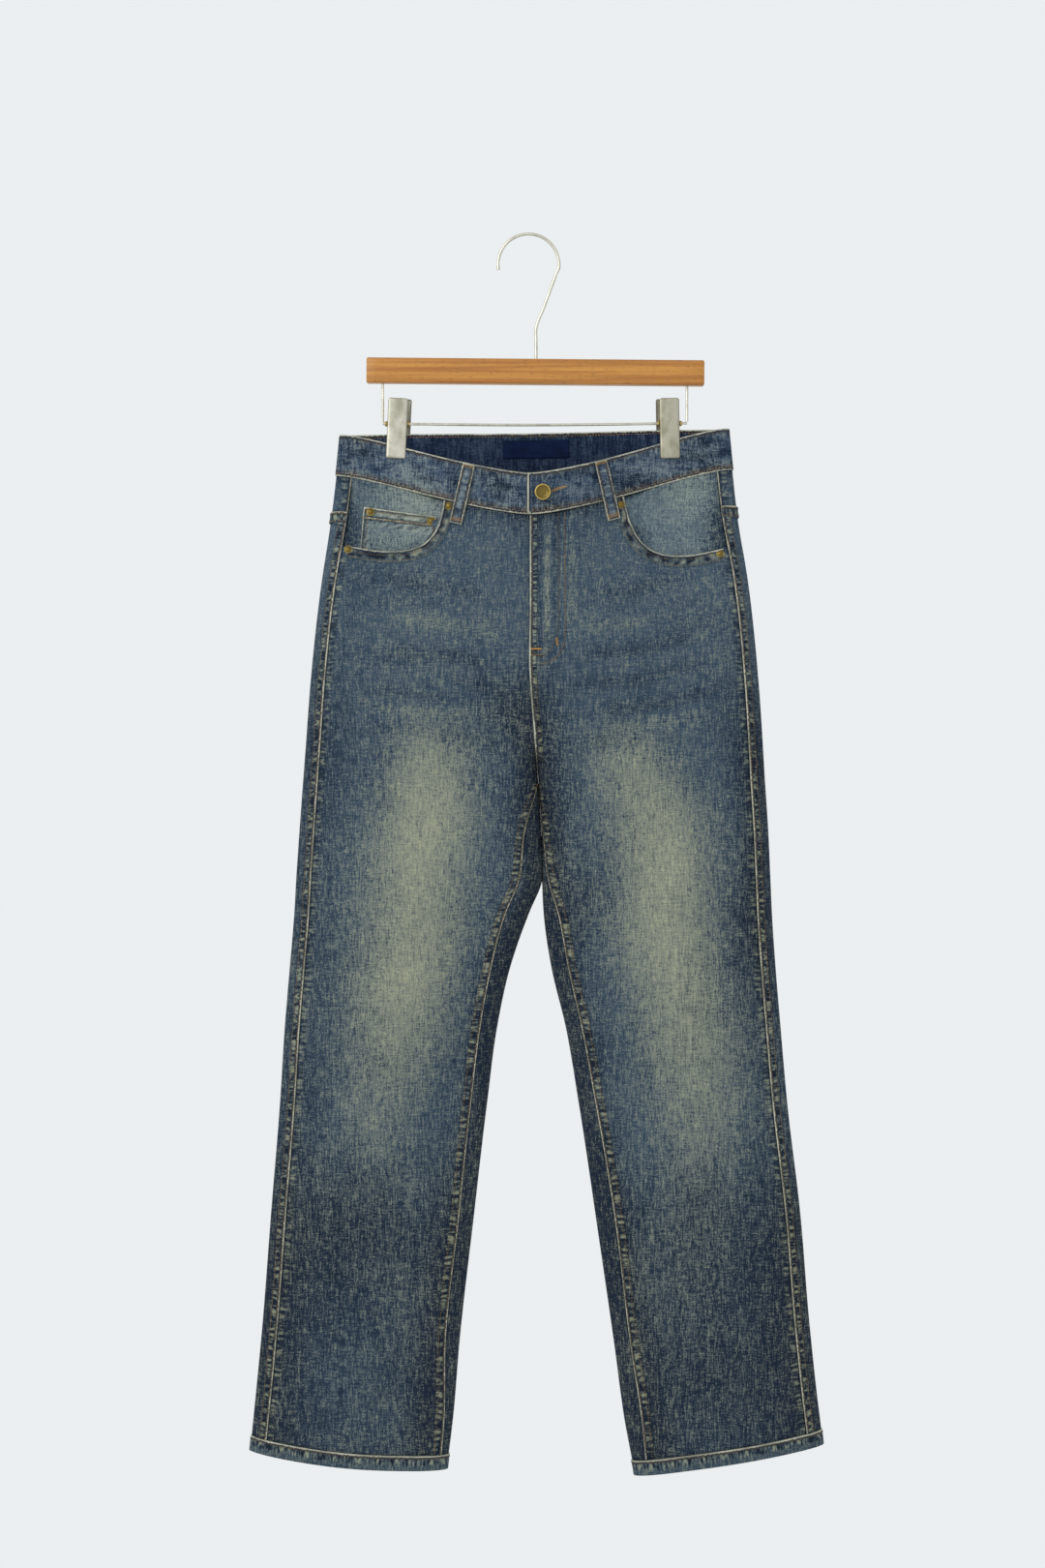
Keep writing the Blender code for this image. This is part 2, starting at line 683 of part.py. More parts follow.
def build_waist(collection, denim, navy):
    cloth_from_grid("waistband", waistband_points(), BAND, denim, collection)
    belt_loop("belt_loop_front_right", -73.5, -11.5, True, denim, collection)
    belt_loop("belt_loop_front_left", 73.0, 11.5, True, denim, collection)
    belt_loop("belt_loop_back_right", -170.0, -3.0, False, denim, collection)
    belt_loop("belt_loop_back_left", 172.0, 3.0, False, denim, collection)
    belt_loop("belt_loop_centre_back", -3.0, 0.0, False, denim, collection)
    rows = []
    for down in np.linspace(WAIST_TOP + 7.5, WAIST_TOP + 26, 3):
        xs = np.linspace(-33, 35, 7)
        rows.append([band_surface(x, down, False, -(BAND / 2 + SEAM_GAP + 0.55)) for x in xs])
    cloth_from_grid("woven_label", np.array(rows), 0.8, navy, collection)


def build_hardware(collection, fronts, brass):
    spots = (
        ("rivet_right_inner", "right", -89.0, 280.5, 0.0),
        ("rivet_right_outer", "right", -192.0, 326.0, 0.0),
        ("rivet_coin_outer", "right", -169.5, 286.0, coin_depth),
        ("rivet_coin_inner", "right", -107.5, 295.5, coin_depth),
        ("rivet_left_inner", "left", 88.6, 279.5, 0.0),
        ("rivet_left_outer", "left", 190.0, 330.5, 0.0),
    )
    for name, side, x, down, out in spots:
        rivet(name, fronts[side], x, down, out, brass, collection)
    radius = BUTTON_DIAMETER / 2
    profile = [
        (0, 3.0), (radius * 0.62, 2.8), (radius * 0.7, 3.3), (radius * 0.9, 3.2), (radius, 2.2),
        (radius * 0.97, 1.2), (radius * 0.4, 0.9), (radius * 0.4, 0.0), (0, 0.0),
    ]
    button = turned("waist_button", profile, 20, brass, collection)
    seat = band_surface(7.6, WAIST_TOP + 21, True, LAP_STEP + BAND / 2 + SEAM_GAP + 0.2)
    stand_on(button, seat, (0, -1, 0))


def hook_points():
    """The hook's wire: straight up out of the bar, an S bend, and a round crook that rests on its top."""
    stem = [
        (1.0, 127.55), (1.0, 110.0), (1.0, 96.0), (3.2, 88.0),
        (7.5, 78.0), (12.6, 64.5), (17.6, 51.0), (22.0, 39.0),
    ]
    centre_x, radius = -6.8, 31.5
    crook = []
    for i in range(13):
        turn = math.radians(-8 + 198 * i / 12)
        crook.append((centre_x + radius * math.cos(turn), 29.8 - radius * math.sin(turn)))
    points = [(x, 0.0, -down) for x, down in stem + crook]
    return points


def build_hanger(collection, wood, steel, clip_metal, brass):
    bar_length, bar_depth, bar_height = 348.5, 14.0, 26.0
    tilt = math.atan2(3.0, bar_length)
    bar_middle = (0.3, 0.0, -140.9)
    plate("hanger_bar", (bar_length, bar_depth, bar_height), bar_middle, tilt, 2.0, wood, collection)
    wire("hanger_hook", hook_points(), WIRE, steel, collection)
    rod_down, rod_tilt, rod_sag = 194.3, 0.6, 1.6
    ends = {"right": (-157.5, 0.0, -rod_down), "left": (157.0, 0.0, -rod_down + rod_tilt)}
    sagged = [Vector(ends["right"]).lerp(Vector(ends["left"]), i / 8) for i in range(9)]
    for i, point in enumerate(sagged):
        point.z -= rod_sag * math.sin(math.pi * i / 8)
    wire("hanger_rod", sagged, FRAME_WIRE, steel, collection)
    for side, (x, y, z) in ends.items():
        bar_foot = bar_middle[2] - bar_height / 2 - math.tan(tilt) * x
        top = bar_foot - SEAM_GAP - 0.1
        foot = z + FRAME_WIRE / 2 + SEAM_GAP
        run = [(x, y, top), (x, y, (top + foot) / 2), (x, y, foot)]
        wire("hanger_arm_" + side, run, FRAME_WIRE, steel, collection)
    length, width, sheet, rear_shift = 62.0, 20.0, 1.2, 3.5
    jaw = CLIP_PINCH + BAND / 2 + SEAM_GAP + 0.15
    leans = {"right": math.radians(2.6), "left": math.radians(-1.0)}
    for side in ("right", "left"):
        x = CLIP_X[side]
        middle = -199.4
        front = (x, -jaw - sheet / 2, middle)
        plate("clip_front_" + side, (width, sheet, length), front, leans[side], 0.4, clip_metal, collection)
        behind = (x - SIGN[side] * rear_shift, jaw + sheet / 2, middle)
        plate("clip_rear_" + side, (width, sheet, length), behind, leans[side], 0.4, clip_metal, collection)
        inner, outer, half = FRAME_WIRE / 2 + 0.35, jaw - SEAM_GAP, 7.5
        ring = [(inner, half), (outer, half), (outer, -half), (inner, -half), (inner, half)]
        pivot = turned("clip_pivot_" + side, ring, 14, brass, collection)
        share = (x - ends["right"][0]) / (ends["left"][0] - ends["right"][0])
        drop = rod_sag * math.sin(math.pi * share)
        stand_on(pivot, (x, 0.0, -rod_down + rod_tilt * share - drop), (1, 0, 0))


def main():
    for obj in list(bpy.data.objects):
        bpy.data.objects.remove(obj)
    scene = bpy.context.scene
    parts = bpy.data.collections.new(PARTS)
    cutters = bpy.data.collections.new("cutters")
    scene.collection.children.link(parts)
    scene.collection.children.link(cutters)
    denim = make_material("denim_face", (0.11, 0.16, 0.21), 0.9)
    inside = make_material("denim_pocket", (0.16, 0.21, 0.23), 0.9)
    navy = make_material("label_navy", (0.01, 0.02, 0.05), 0.8)
    brass = make_material("antique_brass", (0.30, 0.22, 0.07), 0.4, 1.0)
    wood = make_material("oiled_wood", (0.52, 0.27, 0.08), 0.5)
    steel = make_material("bright_wire", (0.60, 0.58, 0.52), 0.3, 1.0)
    clip_metal = make_material("brushed_clip", (0.55, 0.54, 0.47), 0.4, 1.0)
    fronts, backs = build_panels(parts, cutters, denim, inside)
    build_pockets(parts, fronts, backs, denim)
    build_waist(parts, denim, navy)
    build_hardware(parts, fronts, brass)
    build_hanger(parts, wood, steel, clip_metal, brass)


main()
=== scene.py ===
# %% [markdown]
# Jeans hung from a clip hanger.
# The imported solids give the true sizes. This lesson dresses them: each cut and sewn piece of the jeans gets
# a thin cloth shell on its solid's form, with seams, stitches, creases and wear, and the hanger gets its
# wood, wire and plated clips. Everything is in metres, and the hook rests at the origin.

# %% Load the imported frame
import math

import bpy
import numpy as np
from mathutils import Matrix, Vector
from mathutils.geometry import interpolate_bezier


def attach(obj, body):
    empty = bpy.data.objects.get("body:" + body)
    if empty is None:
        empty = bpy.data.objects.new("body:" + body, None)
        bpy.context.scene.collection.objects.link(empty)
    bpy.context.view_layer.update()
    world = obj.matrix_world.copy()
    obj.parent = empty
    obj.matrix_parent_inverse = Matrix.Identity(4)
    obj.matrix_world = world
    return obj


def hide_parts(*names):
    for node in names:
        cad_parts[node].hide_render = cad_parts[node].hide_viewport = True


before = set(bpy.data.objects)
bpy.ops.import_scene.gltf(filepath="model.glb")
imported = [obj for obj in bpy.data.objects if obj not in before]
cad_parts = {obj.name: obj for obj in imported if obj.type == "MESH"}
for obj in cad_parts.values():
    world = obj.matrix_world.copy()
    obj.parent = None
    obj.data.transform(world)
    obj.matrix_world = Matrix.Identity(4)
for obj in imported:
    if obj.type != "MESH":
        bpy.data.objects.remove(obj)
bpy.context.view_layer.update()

MM = 0.001

# %% [markdown]
# The camera stands level in front of the hung jeans, 2.8 m away, so that one millimetre at the cloth is one
# pixel of the whole picture. A long lens keeps the two legs the same size.

# %% Camera
CAMERA_AT = (-0.013, -2.8, -0.5665)
PICTURE_HEIGHT = 1.62
camera_data = bpy.data.cameras.new("studio_camera")
camera_data.sensor_width = 36.0
camera_data.lens = camera_data.sensor_width * -CAMERA_AT[1] / PICTURE_HEIGHT
camera_data.clip_start = 0.1
camera_data.clip_end = 30.0
camera = bpy.data.objects.new("studio_camera", camera_data)
camera.location = CAMERA_AT
camera.rotation_euler = (math.radians(90), 0, 0)
bpy.context.scene.collection.objects.link(camera)
bpy.context.scene.camera = camera
print("lens", round(camera_data.lens, 1), "mm")

# %% [markdown]
# A pale room lights cloth evenly from all round, and one large lamp from the upper left gives the folds
# their shape. The floor is a plain pale disc below the hems.

# %% Light and floor
ROOM_COLOUR = (0.83, 0.86, 0.875)
FLOOR_HEIGHT = -1.75


def linear(red, green, blue):
    """A colour as seen on a screen, 0 to 255, in the linear numbers that shaders use."""
    parts = [value / 255 for value in (red, green, blue)]
    return tuple(v / 12.92 if v <= 0.04045 else ((v + 0.055) / 1.055) ** 2.4 for v in parts)


def add_lamp(name, place, aim, size, watts, colour):
    data = bpy.data.lights.new(name, "AREA")
    data.size = size
    data.energy = watts
    data.color = colour
    lamp = bpy.data.objects.new(name, data)
    lamp.location = place
    lamp.rotation_mode = "QUATERNION"
    lamp.rotation_quaternion = (Vector(aim) - Vector(place)).to_track_quat("-Z", "Y")
    bpy.context.scene.collection.objects.link(lamp)
    return lamp


def add_floor():
    mesh = bpy.data.meshes.new("floor")
    turns = [2 * math.pi * i / 96 for i in range(96)]
    ring = [(1.2 * math.cos(turn), 1.2 * math.sin(turn), FLOOR_HEIGHT) for turn in turns]
    mesh.from_pydata(ring, [], [list(range(len(ring)))])
    floor = bpy.data.objects.new("floor", mesh)
    bpy.context.scene.collection.objects.link(floor)
    return floor


bpy.context.scene.view_settings.view_transform = "Standard"
room = bpy.data.worlds.new("pale_room")
room.use_nodes = True
room.node_tree.nodes["Background"].inputs["Color"].default_value = (*ROOM_COLOUR, 1)
room.node_tree.nodes["Background"].inputs["Strength"].default_value = 1.0
bpy.context.scene.world = room
add_lamp("key_lamp", (-1.7, -2.2, 0.9), (0, 0, -0.7), 1.8, 38, (1.0, 0.98, 0.95))
floor = add_floor()
print("room and key lamp set")

# %% [markdown]
# A jeans leg is a flat tube with a fold on each side. These tables say how wide and deep each half is at
# each level, measured in millimetres from the hook's rest. They are those of the solids, except that the
# halves meet along the centre seam and just below the crotch, so that no light shows between them.

# %% Sizes of the garment
DENIM = 1.3
BAND = 2.6
HEM = 3.4
SEAM_GAP = 0.3
BAND_GAP = 1.0
LAYER = DENIM + 0.45
INNER_LAYER = DENIM + 0.65
WAIST_TOP = 203.0
WAIST_SEAM = 245.5
YOKE_SIDE = 283.0
YOKE_DROP = 46.0
CROTCH = 556.0
HEM_LEVEL = 1254.0
HEM_HEIGHT = 15.0
HEM_DROP = {"right": (0.0, 19.0), "left": (-6.5, 25.5)}
CLIP_X = {"right": -142.5, "left": 139.0}
FRONT_SAG = 45.0
FRONT_BOW = 25.0
BACK_BOW = 9.0
HALF_WAIST = 200.0
WAIST_TILT = -0.0155
CLIP_PINCH = 1.5
SIDE_BULGE = 3.2
OUTSEAM_INSET = 16.0
FLY_LAP = 8.0
FLY_STEP = 1.3
SIGN = {"right": -1.0, "left": 1.0}
SIDES = ("right", "left")

LEVEL_COLUMNS = "down out_right out_left in_right in_left half_right half_left strip_right strip_left"
LEVELS = np.array([
    (203, 200.5, 199.0, -5.4, -5.4, 18, 18, 0, 0),
    (248, 205.0, 203.5, -5.4, -5.4, 20, 20, 0, 0),
    (297, 211.0, 209.0, -5.4, -5.4, 24, 24, 0, 0),
    (357, 220.0, 219.0, -5.4, -5.4, 28, 28, 0, 0),
    (457, 231.0, 230.0, -5.4, -5.4, 30, 30, 0, 0),
    (530, 236.5, 235.0, 0.4, 0.4, 29, 29, 0, 0),
    (556, 238.5, 236.5, 2.8, 2.8, 28, 28, 0, 0),
    (617, 243.0, 240.5, 6.4, 6.4, 26, 26, 17, 2),
    (669, 246.5, 242.8, 6.8, 7.2, 26, 26, 24, 7),
    (697, 248.0, 244.0, -5.0, 8.5, 26, 26, 24, 14),
    (757, 253.0, 248.0, -26.0, 17.0, 26, 26, 19, 17),
    (817, 258.0, 253.0, -39.0, 31.5, 25, 26, 17, 16),
    (896, 263.0, 260.0, -49.5, 45.0, 24, 25, 16, 17),
    (1007, 272.0, 273.0, -63.0, 62.5, 23, 24, 15, 19),
    (1129, 281.5, 283.0, -78.0, 82.0, 22, 24, 14, 16),
    (1197, 288.0, 290.0, -84.0, 92.0, 21, 25, 9, 17),
    (1256, 294.0, 297.0, -91.0, 103.0, 21, 25, 7, 12),
    (1290, 297.5, 300.0, -94.0, 107.0, 21, 25, 7, 11),
], dtype=float)

ROUNDING_COLUMNS = "down outer inner closed"
ROUNDING = np.array([
    (203, 0.03, 0.10, 0.0),
    (297, 0.07, 0.10, 0.0),
    (357, 0.12, 0.10, 0.0),
    (457, 0.25, 0.10, 0.0),
    (505, 0.30, 0.10, 0.0),
    (550, 0.34, 0.12, 1.0),
    (560, 0.35, 0.13, 1.0),
    (617, 0.42, 0.24, 1.0),
    (697, 0.48, 0.40, 1.0),
    (757, 0.50, 0.50, 1.0),
    (1290, 0.50, 0.50, 1.0),
], dtype=float)

POCKET_MOUTH = {
    "right": ((-92.0, 250.0), (-94.0, 321.0), (-112.0, 342.0), (-207.0, 319.0)),
    "left": ((88.0, 250.0), (97.0, 321.0), (112.0, 351.0), (207.0, 321.0)),
}
print("garment:", len(LEVELS), "levels from", LEVELS[0, 0], "to", LEVELS[-1, 0], "mm below the hook's rest")

# %% [markdown]
# Hung cloth is never smooth. The large folds are the solids' own. The creases under them are smaller: drag
# lines that fan out from the crotch, short breaks behind the knees, and ripples where a seam has shrunk.
# Each is given as a soft trough or ridge with its own length, width and depth.

# %% Folds and creases
FOLD_COLUMNS = "side face x_top down_top x_foot down_foot width rise"
FOLDS = (
    ("right", "front", -150, 600, -168, 1120, 42, 4.0),
    ("right", "front", -62, 640, -98, 1010, 26, -4.0),
    ("right", "front", -12, 556, -112, 500, 15, -3.5),
    ("right", "front", -232, 980, -246, 1250, 22, -3.0),
    ("right", "front", -150, 1130, -140, 1262, 26, -3.0),
    ("left", "front", 150, 590, 168, 1080, 44, 4.5),
    ("left", "front", 72, 660, 104, 980, 26, -4.0),
    ("left", "front", 16, 560, 116, 506, 15, -3.5),
    ("left", "front", 214, 1000, 226, 1262, 26, 3.5),
    ("left", "front", 160, 1060, 152, 1262, 24, -4.0),
    ("right", "back", -24, 548, -120, 590, 18, -5.0),
    ("right", "back", -150, 640, -165, 1200, 36, -4.0),
    ("right", "back", -70, 820, -230, 850, 16, -2.5),
    ("left", "back", 30, 548, 128, 596, 18, -5.0),
    ("left", "back", 140, 650, 170, 1200, 36, -4.5),
    ("left", "back", 66, 830, 240, 856, 16, -2.5),
)
CREASES = (
    ("right", "front", -30, 520, -150, 470, 7, -0.9),
    ("right", "front", -26, 596, -120, 640, 9, -1.0),
    ("right", "front", -196, 372, -120, 392, 8, -0.8),
    ("right", "front", -168, 410, -60, 432, 6, -0.8),
    ("right", "front", -190, 440, -100, 470, 9, -1.1),
    ("right", "front", -150, 482, -84, 488, 7, -0.7),
    ("right", "front", -214, 640, -190, 820, 10, 0.9),
    ("right", "front", -120, 900, -180, 960, 14, -1.0),
    ("right", "front", -200, 1040, -130, 1090, 13, 0.9),
    ("right", "front", -252, 1120, -262, 1230, 9, -0.9),
    ("right", "front", -120, 1170, -190, 1210, 12, -0.8),
    ("left", "front", 30, 524, 148, 476, 7, -0.9),
    ("left", "front", 26, 604, 128, 650, 9, -1.0),
    ("left", "front", 192, 380, 120, 398, 8, -0.9),
    ("left", "front", 172, 418, 62, 436, 6, -0.8),
    ("left", "front", 188, 452, 96, 474, 9, -1.1),
    ("left", "front", 206, 660, 186, 860, 10, 0.9),
    ("left", "front", 120, 900, 190, 950, 14, -1.0),
    ("left", "front", 214, 1030, 136, 1080, 13, 0.9),
    ("left", "front", 256, 1110, 268, 1240, 9, -0.9),
    ("left", "front", 130, 1180, 206, 1216, 12, -0.8),
    ("right", "back", -20, 560, -160, 632, 9, -1.5),
    ("right", "back", -26, 600, -110, 690, 10, -1.3),
    ("right", "back", -150, 470, -60, 520, 12, -1.4),
    ("right", "back", -228, 430, -130, 545, 14, 1.3),
    ("right", "back", -236, 800, -120, 826, 8, -1.4),
    ("right", "back", -90, 862, -220, 884, 9, -1.2),
    ("right", "back", -240, 900, -170, 930, 8, -0.9),
    ("right", "back", -120, 1040, -200, 1100, 15, 1.1),
    ("right", "back", -250, 1180, -150, 1216, 12, -1.1),
    ("left", "back", 24, 566, 170, 640, 9, -1.5),
    ("left", "back", 30, 610, 118, 704, 10, -1.2),
    ("left", "back", 158, 476, 66, 528, 12, -1.4),
    ("left", "back", 226, 440, 128, 552, 14, 1.2),
    ("left", "back", 232, 812, 110, 836, 8, -1.4),
    ("left", "back", 84, 868, 214, 894, 9, -1.2),
    ("left", "back", 246, 912, 180, 936, 8, -1.0),
    ("left", "back", 124, 1050, 206, 1120, 15, 1.0),
    ("left", "back", 252, 1170, 156, 1210, 12, -1.1),
)


def ramp(value, start, end):
    """0 before start, 1 after end, and a smooth step between."""
    t = np.clip((np.asarray(value, float) - start) / (end - start), 0.0, 1.0)
    return t * t * (3 - 2 * t)


def folds_at(table, side, front, x, down):
    """Sum of a table's folds or creases at points of one half's front or back."""
    total = np.zeros(np.broadcast(x, down).shape)
    for entry in table:
        row = dict(zip(FOLD_COLUMNS.split(), entry))
        if row["side"] != side:
            continue
        run_x = row["x_foot"] - row["x_top"]
        run_down = row["down_foot"] - row["down_top"]
        length = math.hypot(run_x, run_down)
        along = ((x - row["x_top"]) * run_x + (down - row["down_top"]) * run_down) / length
        across = ((x - row["x_top"]) * run_down - (down - row["down_top"]) * run_x) / length
        end = min(90.0, length / 2.5)
        shape = np.exp(-((across / row["width"]) ** 2)) * ramp(along, 0, end)
        shape = shape * (1 - ramp(along, length - end, length + 20))
        total = total + np.where(front == (row["face"] == "front"), row["rise"] * shape, 0.0)
    return total


print("folds:", len(FOLDS), "large,", len(CREASES), "small")

# %% [markdown]
# With the tables read as smooth curves, one function gives the middle of the cloth anywhere round either
# half. Its angle is 0 at the side fold and half a turn at the inner fold, with the back between them and
# the front on the other way round.

# %% The form of one half
def read(table, columns, name, down):
    """A column of a table at any level, as a smooth curve through its rows."""
    xs = table[:, 0]
    ys = table[:, columns.split().index(name)]
    slopes = np.gradient(ys, xs)
    down = np.clip(np.asarray(down, float), xs[0], xs[-1])
    i = np.clip(np.searchsorted(xs, down) - 1, 0, len(xs) - 2)
    step = xs[i + 1] - xs[i]
    t = (down - xs[i]) / step
    start = (2 * t**3 - 3 * t**2 + 1) * ys[i] + (t**3 - 2 * t**2 + t) * step * slopes[i]
    end = (3 * t**2 - 2 * t**3) * ys[i + 1] + (t**3 - t**2) * step * slopes[i + 1]
    return start + end


def level(name, down):
    return read(LEVELS, LEVEL_COLUMNS, name, down)


def rounding(name, down):
    return np.clip(read(ROUNDING, ROUNDING_COLUMNS, name, down), 0.0, 1.0)


def nose(p, width):
    """Depth of a fold, 0 at its edge and 1 from width inwards, round like an ellipse."""
    return np.sqrt(1 - (1 - np.clip(p / width, 0.0, 1.0)) ** 2)


def waist_depth(x, front):
    """How far the waistband's middle lies from the plane of the clips: pinched at them, bowed out between."""
    middle = (CLIP_X["right"] + CLIP_X["left"]) / 2
    reach = (CLIP_X["left"] - CLIP_X["right"]) / 2
    t = np.abs(x - middle) / reach
    bow = np.where(front, FRONT_BOW, BACK_BOW)
    between = bow * np.cos(math.pi / 2 * np.clip(t * 1.05 - 0.05, 0, 1)) ** 2
    beyond = SIDE_BULGE * ramp(t, 1.08, 1.42)
    return CLIP_PINCH + np.where(t < 1, between, beyond)


def sag(x, front):
    """How much lower the front of the waist hangs than the line between its two side folds."""
    t = np.clip(np.abs(x + 3) / HALF_WAIST, 0, 1)
    return np.where(front, FRONT_SAG * (1 - t**1.5) ** 1.5, 0.0) + WAIST_TILT * x


def waist_share(down):
    return 1 - ramp(down, WAIST_SEAM + 10, 480)


def hem_slant(side, p, down):
    """How much lower the cloth hangs than its level towards the hem, which isn't square to the leg."""
    outer, inner = HEM_DROP[side]
    share = 1 - (1 - p) ** 2 if side == "right" else p
    return (outer + (inner - outer) * share) * ramp(down, 900, HEM_LEVEL)


def inner_x(side, down):
    """Where the inner fold or centre seam of one half lies. Above the crotch the halves all but touch."""
    apart = 0.04 + DENIM / 2 * ramp(down, 498, 528)
    return level("in_" + side, down) + SIGN[side] * apart


def section_point(side, angle, down):
    """Points on the middle of the cloth of one half, in millimetres."""
    angle, down = np.broadcast_arrays(np.asarray(angle, float), np.asarray(down, float))
    outer = SIGN[side] * level("out_" + side, down)
    inner = inner_x(side, down)
    half = level("half_" + side, down)
    p = (1 - np.cos(angle)) / 2
    front = (angle < 0) | (angle > math.pi)
    x = outer + (inner - outer) * p
    closed = rounding("closed", down)
    closed = np.where(front, closed**2, closed)
    outer_nose = nose(p, rounding("outer", down))
    inner_nose = 1 - closed * (1 - nose(1 - p, rounding("inner", down)))
    body = half * outer_nose * inner_nose
    waist = waist_depth(x, front) * nose(p, 0.03)
    opened = np.sin(math.pi / 2 * np.clip((down - WAIST_SEAM) / 180, 0, 1))
    depth = waist + (body - waist) * opened
    edge = np.clip(np.minimum(p, np.where(closed > 0.5, 1 - p, 1.0)) / 0.12, 0, 1)
    rise = folds_at(FOLDS, side, front, x, down) + folds_at(CREASES, side, front, x, down)
    depth = depth + rise * edge
    y = np.where(front, -depth, depth)
    near_centre = ramp(p, 0.9, 0.985) * (angle < 0)
    y = y - SIGN[side] * FLY_STEP * near_centre * (1 - ramp(down, 520, 550))
    if side == "right":
        x = x + FLY_LAP * near_centre * (1 - ramp(down, 470, 530))
    drop = down + waist_share(down) * sag(x, front) + hem_slant(side, p, down)
    return np.stack([x, y, -drop], axis=-1)


def angle_of_inset(side, inset, down):
    """The angle, from a fold, at which the section lies inset millimetres in from it."""
    width = np.abs(inner_x(side, down) - SIGN[side] * level("out_" + side, down))
    return np.arccos(1 - 2 * np.clip(inset / width, 0, 1))


def outseam_angle(side, down):
    return angle_of_inset(side, OUTSEAM_INSET, down)


def inseam_angle(side, down):
    return angle_of_inset(side, np.maximum(level("strip_" + side, down), 0), down)


def beside(side, angle, down, gap):
    """The angle that lies gap millimetres along the cloth before the given one."""
    step = 0.01
    here = section_point(side, angle, down)
    before = section_point(side, angle - step, down)
    return angle - gap * step / np.linalg.norm(here - before, axis=-1)


print("right leg at the knee:", np.round(section_point("right", 0.0, 817.0), 1), "mm at its side fold")

# %% [markdown]
# A panel is one cut piece: a grid of points round the half and down it. Pieces that are sewn on a panel
# take their places from the same grid, moved out by the cloth between, so nothing sinks in or floats.

# %% Panels
class Panel:
    """One cut piece of cloth: a grid of points round the section (columns) and down the garment (rows)."""

    def __init__(self, side, rows, columns, first, last, shift=None):
        self.side = side
        self.rows = np.asarray(rows, float)
        self.columns = columns
        self.first = first
        self.last = last
        self.shift = shift or (lambda angle, down: np.zeros(np.broadcast(angle, down).shape))
        share = np.linspace(0, 1, columns + 1)
        base = self.rows[:, None]
        self.angle = first(base) + (last(base) - first(base)) * share
        self.level = base + self.shift(self.angle, base)
        self.points = section_point(side, self.angle, self.level)
        across = np.gradient(self.points, axis=1)
        along = np.gradient(self.points, axis=0)
        turn = np.sign(last(base[-1]) - first(base[-1]))
        outwards = -turn * SIGN[side] * np.cross(across, along)
        self.normals = outwards / np.linalg.norm(outwards, axis=-1, keepdims=True)

    def at(self, angle, down, out):
        """Points out from the panel, at section angles and levels of its rows."""
        angle, down = np.broadcast_arrays(np.asarray(angle, float), np.asarray(down, float))
        i = np.interp(down, self.rows, np.arange(len(self.rows)))
        j = (angle - self.first(down)) / (self.last(down) - self.first(down)) * self.columns
        i0 = np.clip(np.floor(i).astype(int), 0, len(self.rows) - 2)
        j0 = np.clip(np.floor(j).astype(int), 0, self.columns - 1)
        fi = (i - i0)[..., None]
        fj = (j - j0)[..., None]

        def mix(grid):
            top = grid[i0, j0] * (1 - fj) + grid[i0, j0 + 1] * fj
            foot = grid[i0 + 1, j0] * (1 - fj) + grid[i0 + 1, j0 + 1] * fj
            return top * (1 - fi) + foot * fi

        return mix(self.points) + mix(self.normals) * np.broadcast_to(out, angle.shape)[..., None]

    def find(self, x, down, front=True):
        """Section angle and row level of the points seen at x and down on the hung garment."""
        x, down = np.broadcast_arrays(np.asarray(x, float), np.asarray(down, float))
        base = down.copy()
        for _ in range(30):
            outer = SIGN[self.side] * level("out_" + self.side, base)
            inner = inner_x(self.side, base)
            p = np.clip((x - outer) / (inner - outer), 0.0, 1.0)
            base = down - waist_share(base) * sag(x, front) - hem_slant(self.side, p, base)
        angle = np.arccos(1 - 2 * p) * (-1 if front else 1)
        row = base
        for _ in range(12):
            row = base - self.shift(angle, row)
        return angle, row


def spaced(start, end, step):
    """Values from start to end, about a step apart."""
    return np.linspace(start, end, max(2, round(abs(end - start) / step) + 1))


print("panels are grids of points, about 4 mm apart")
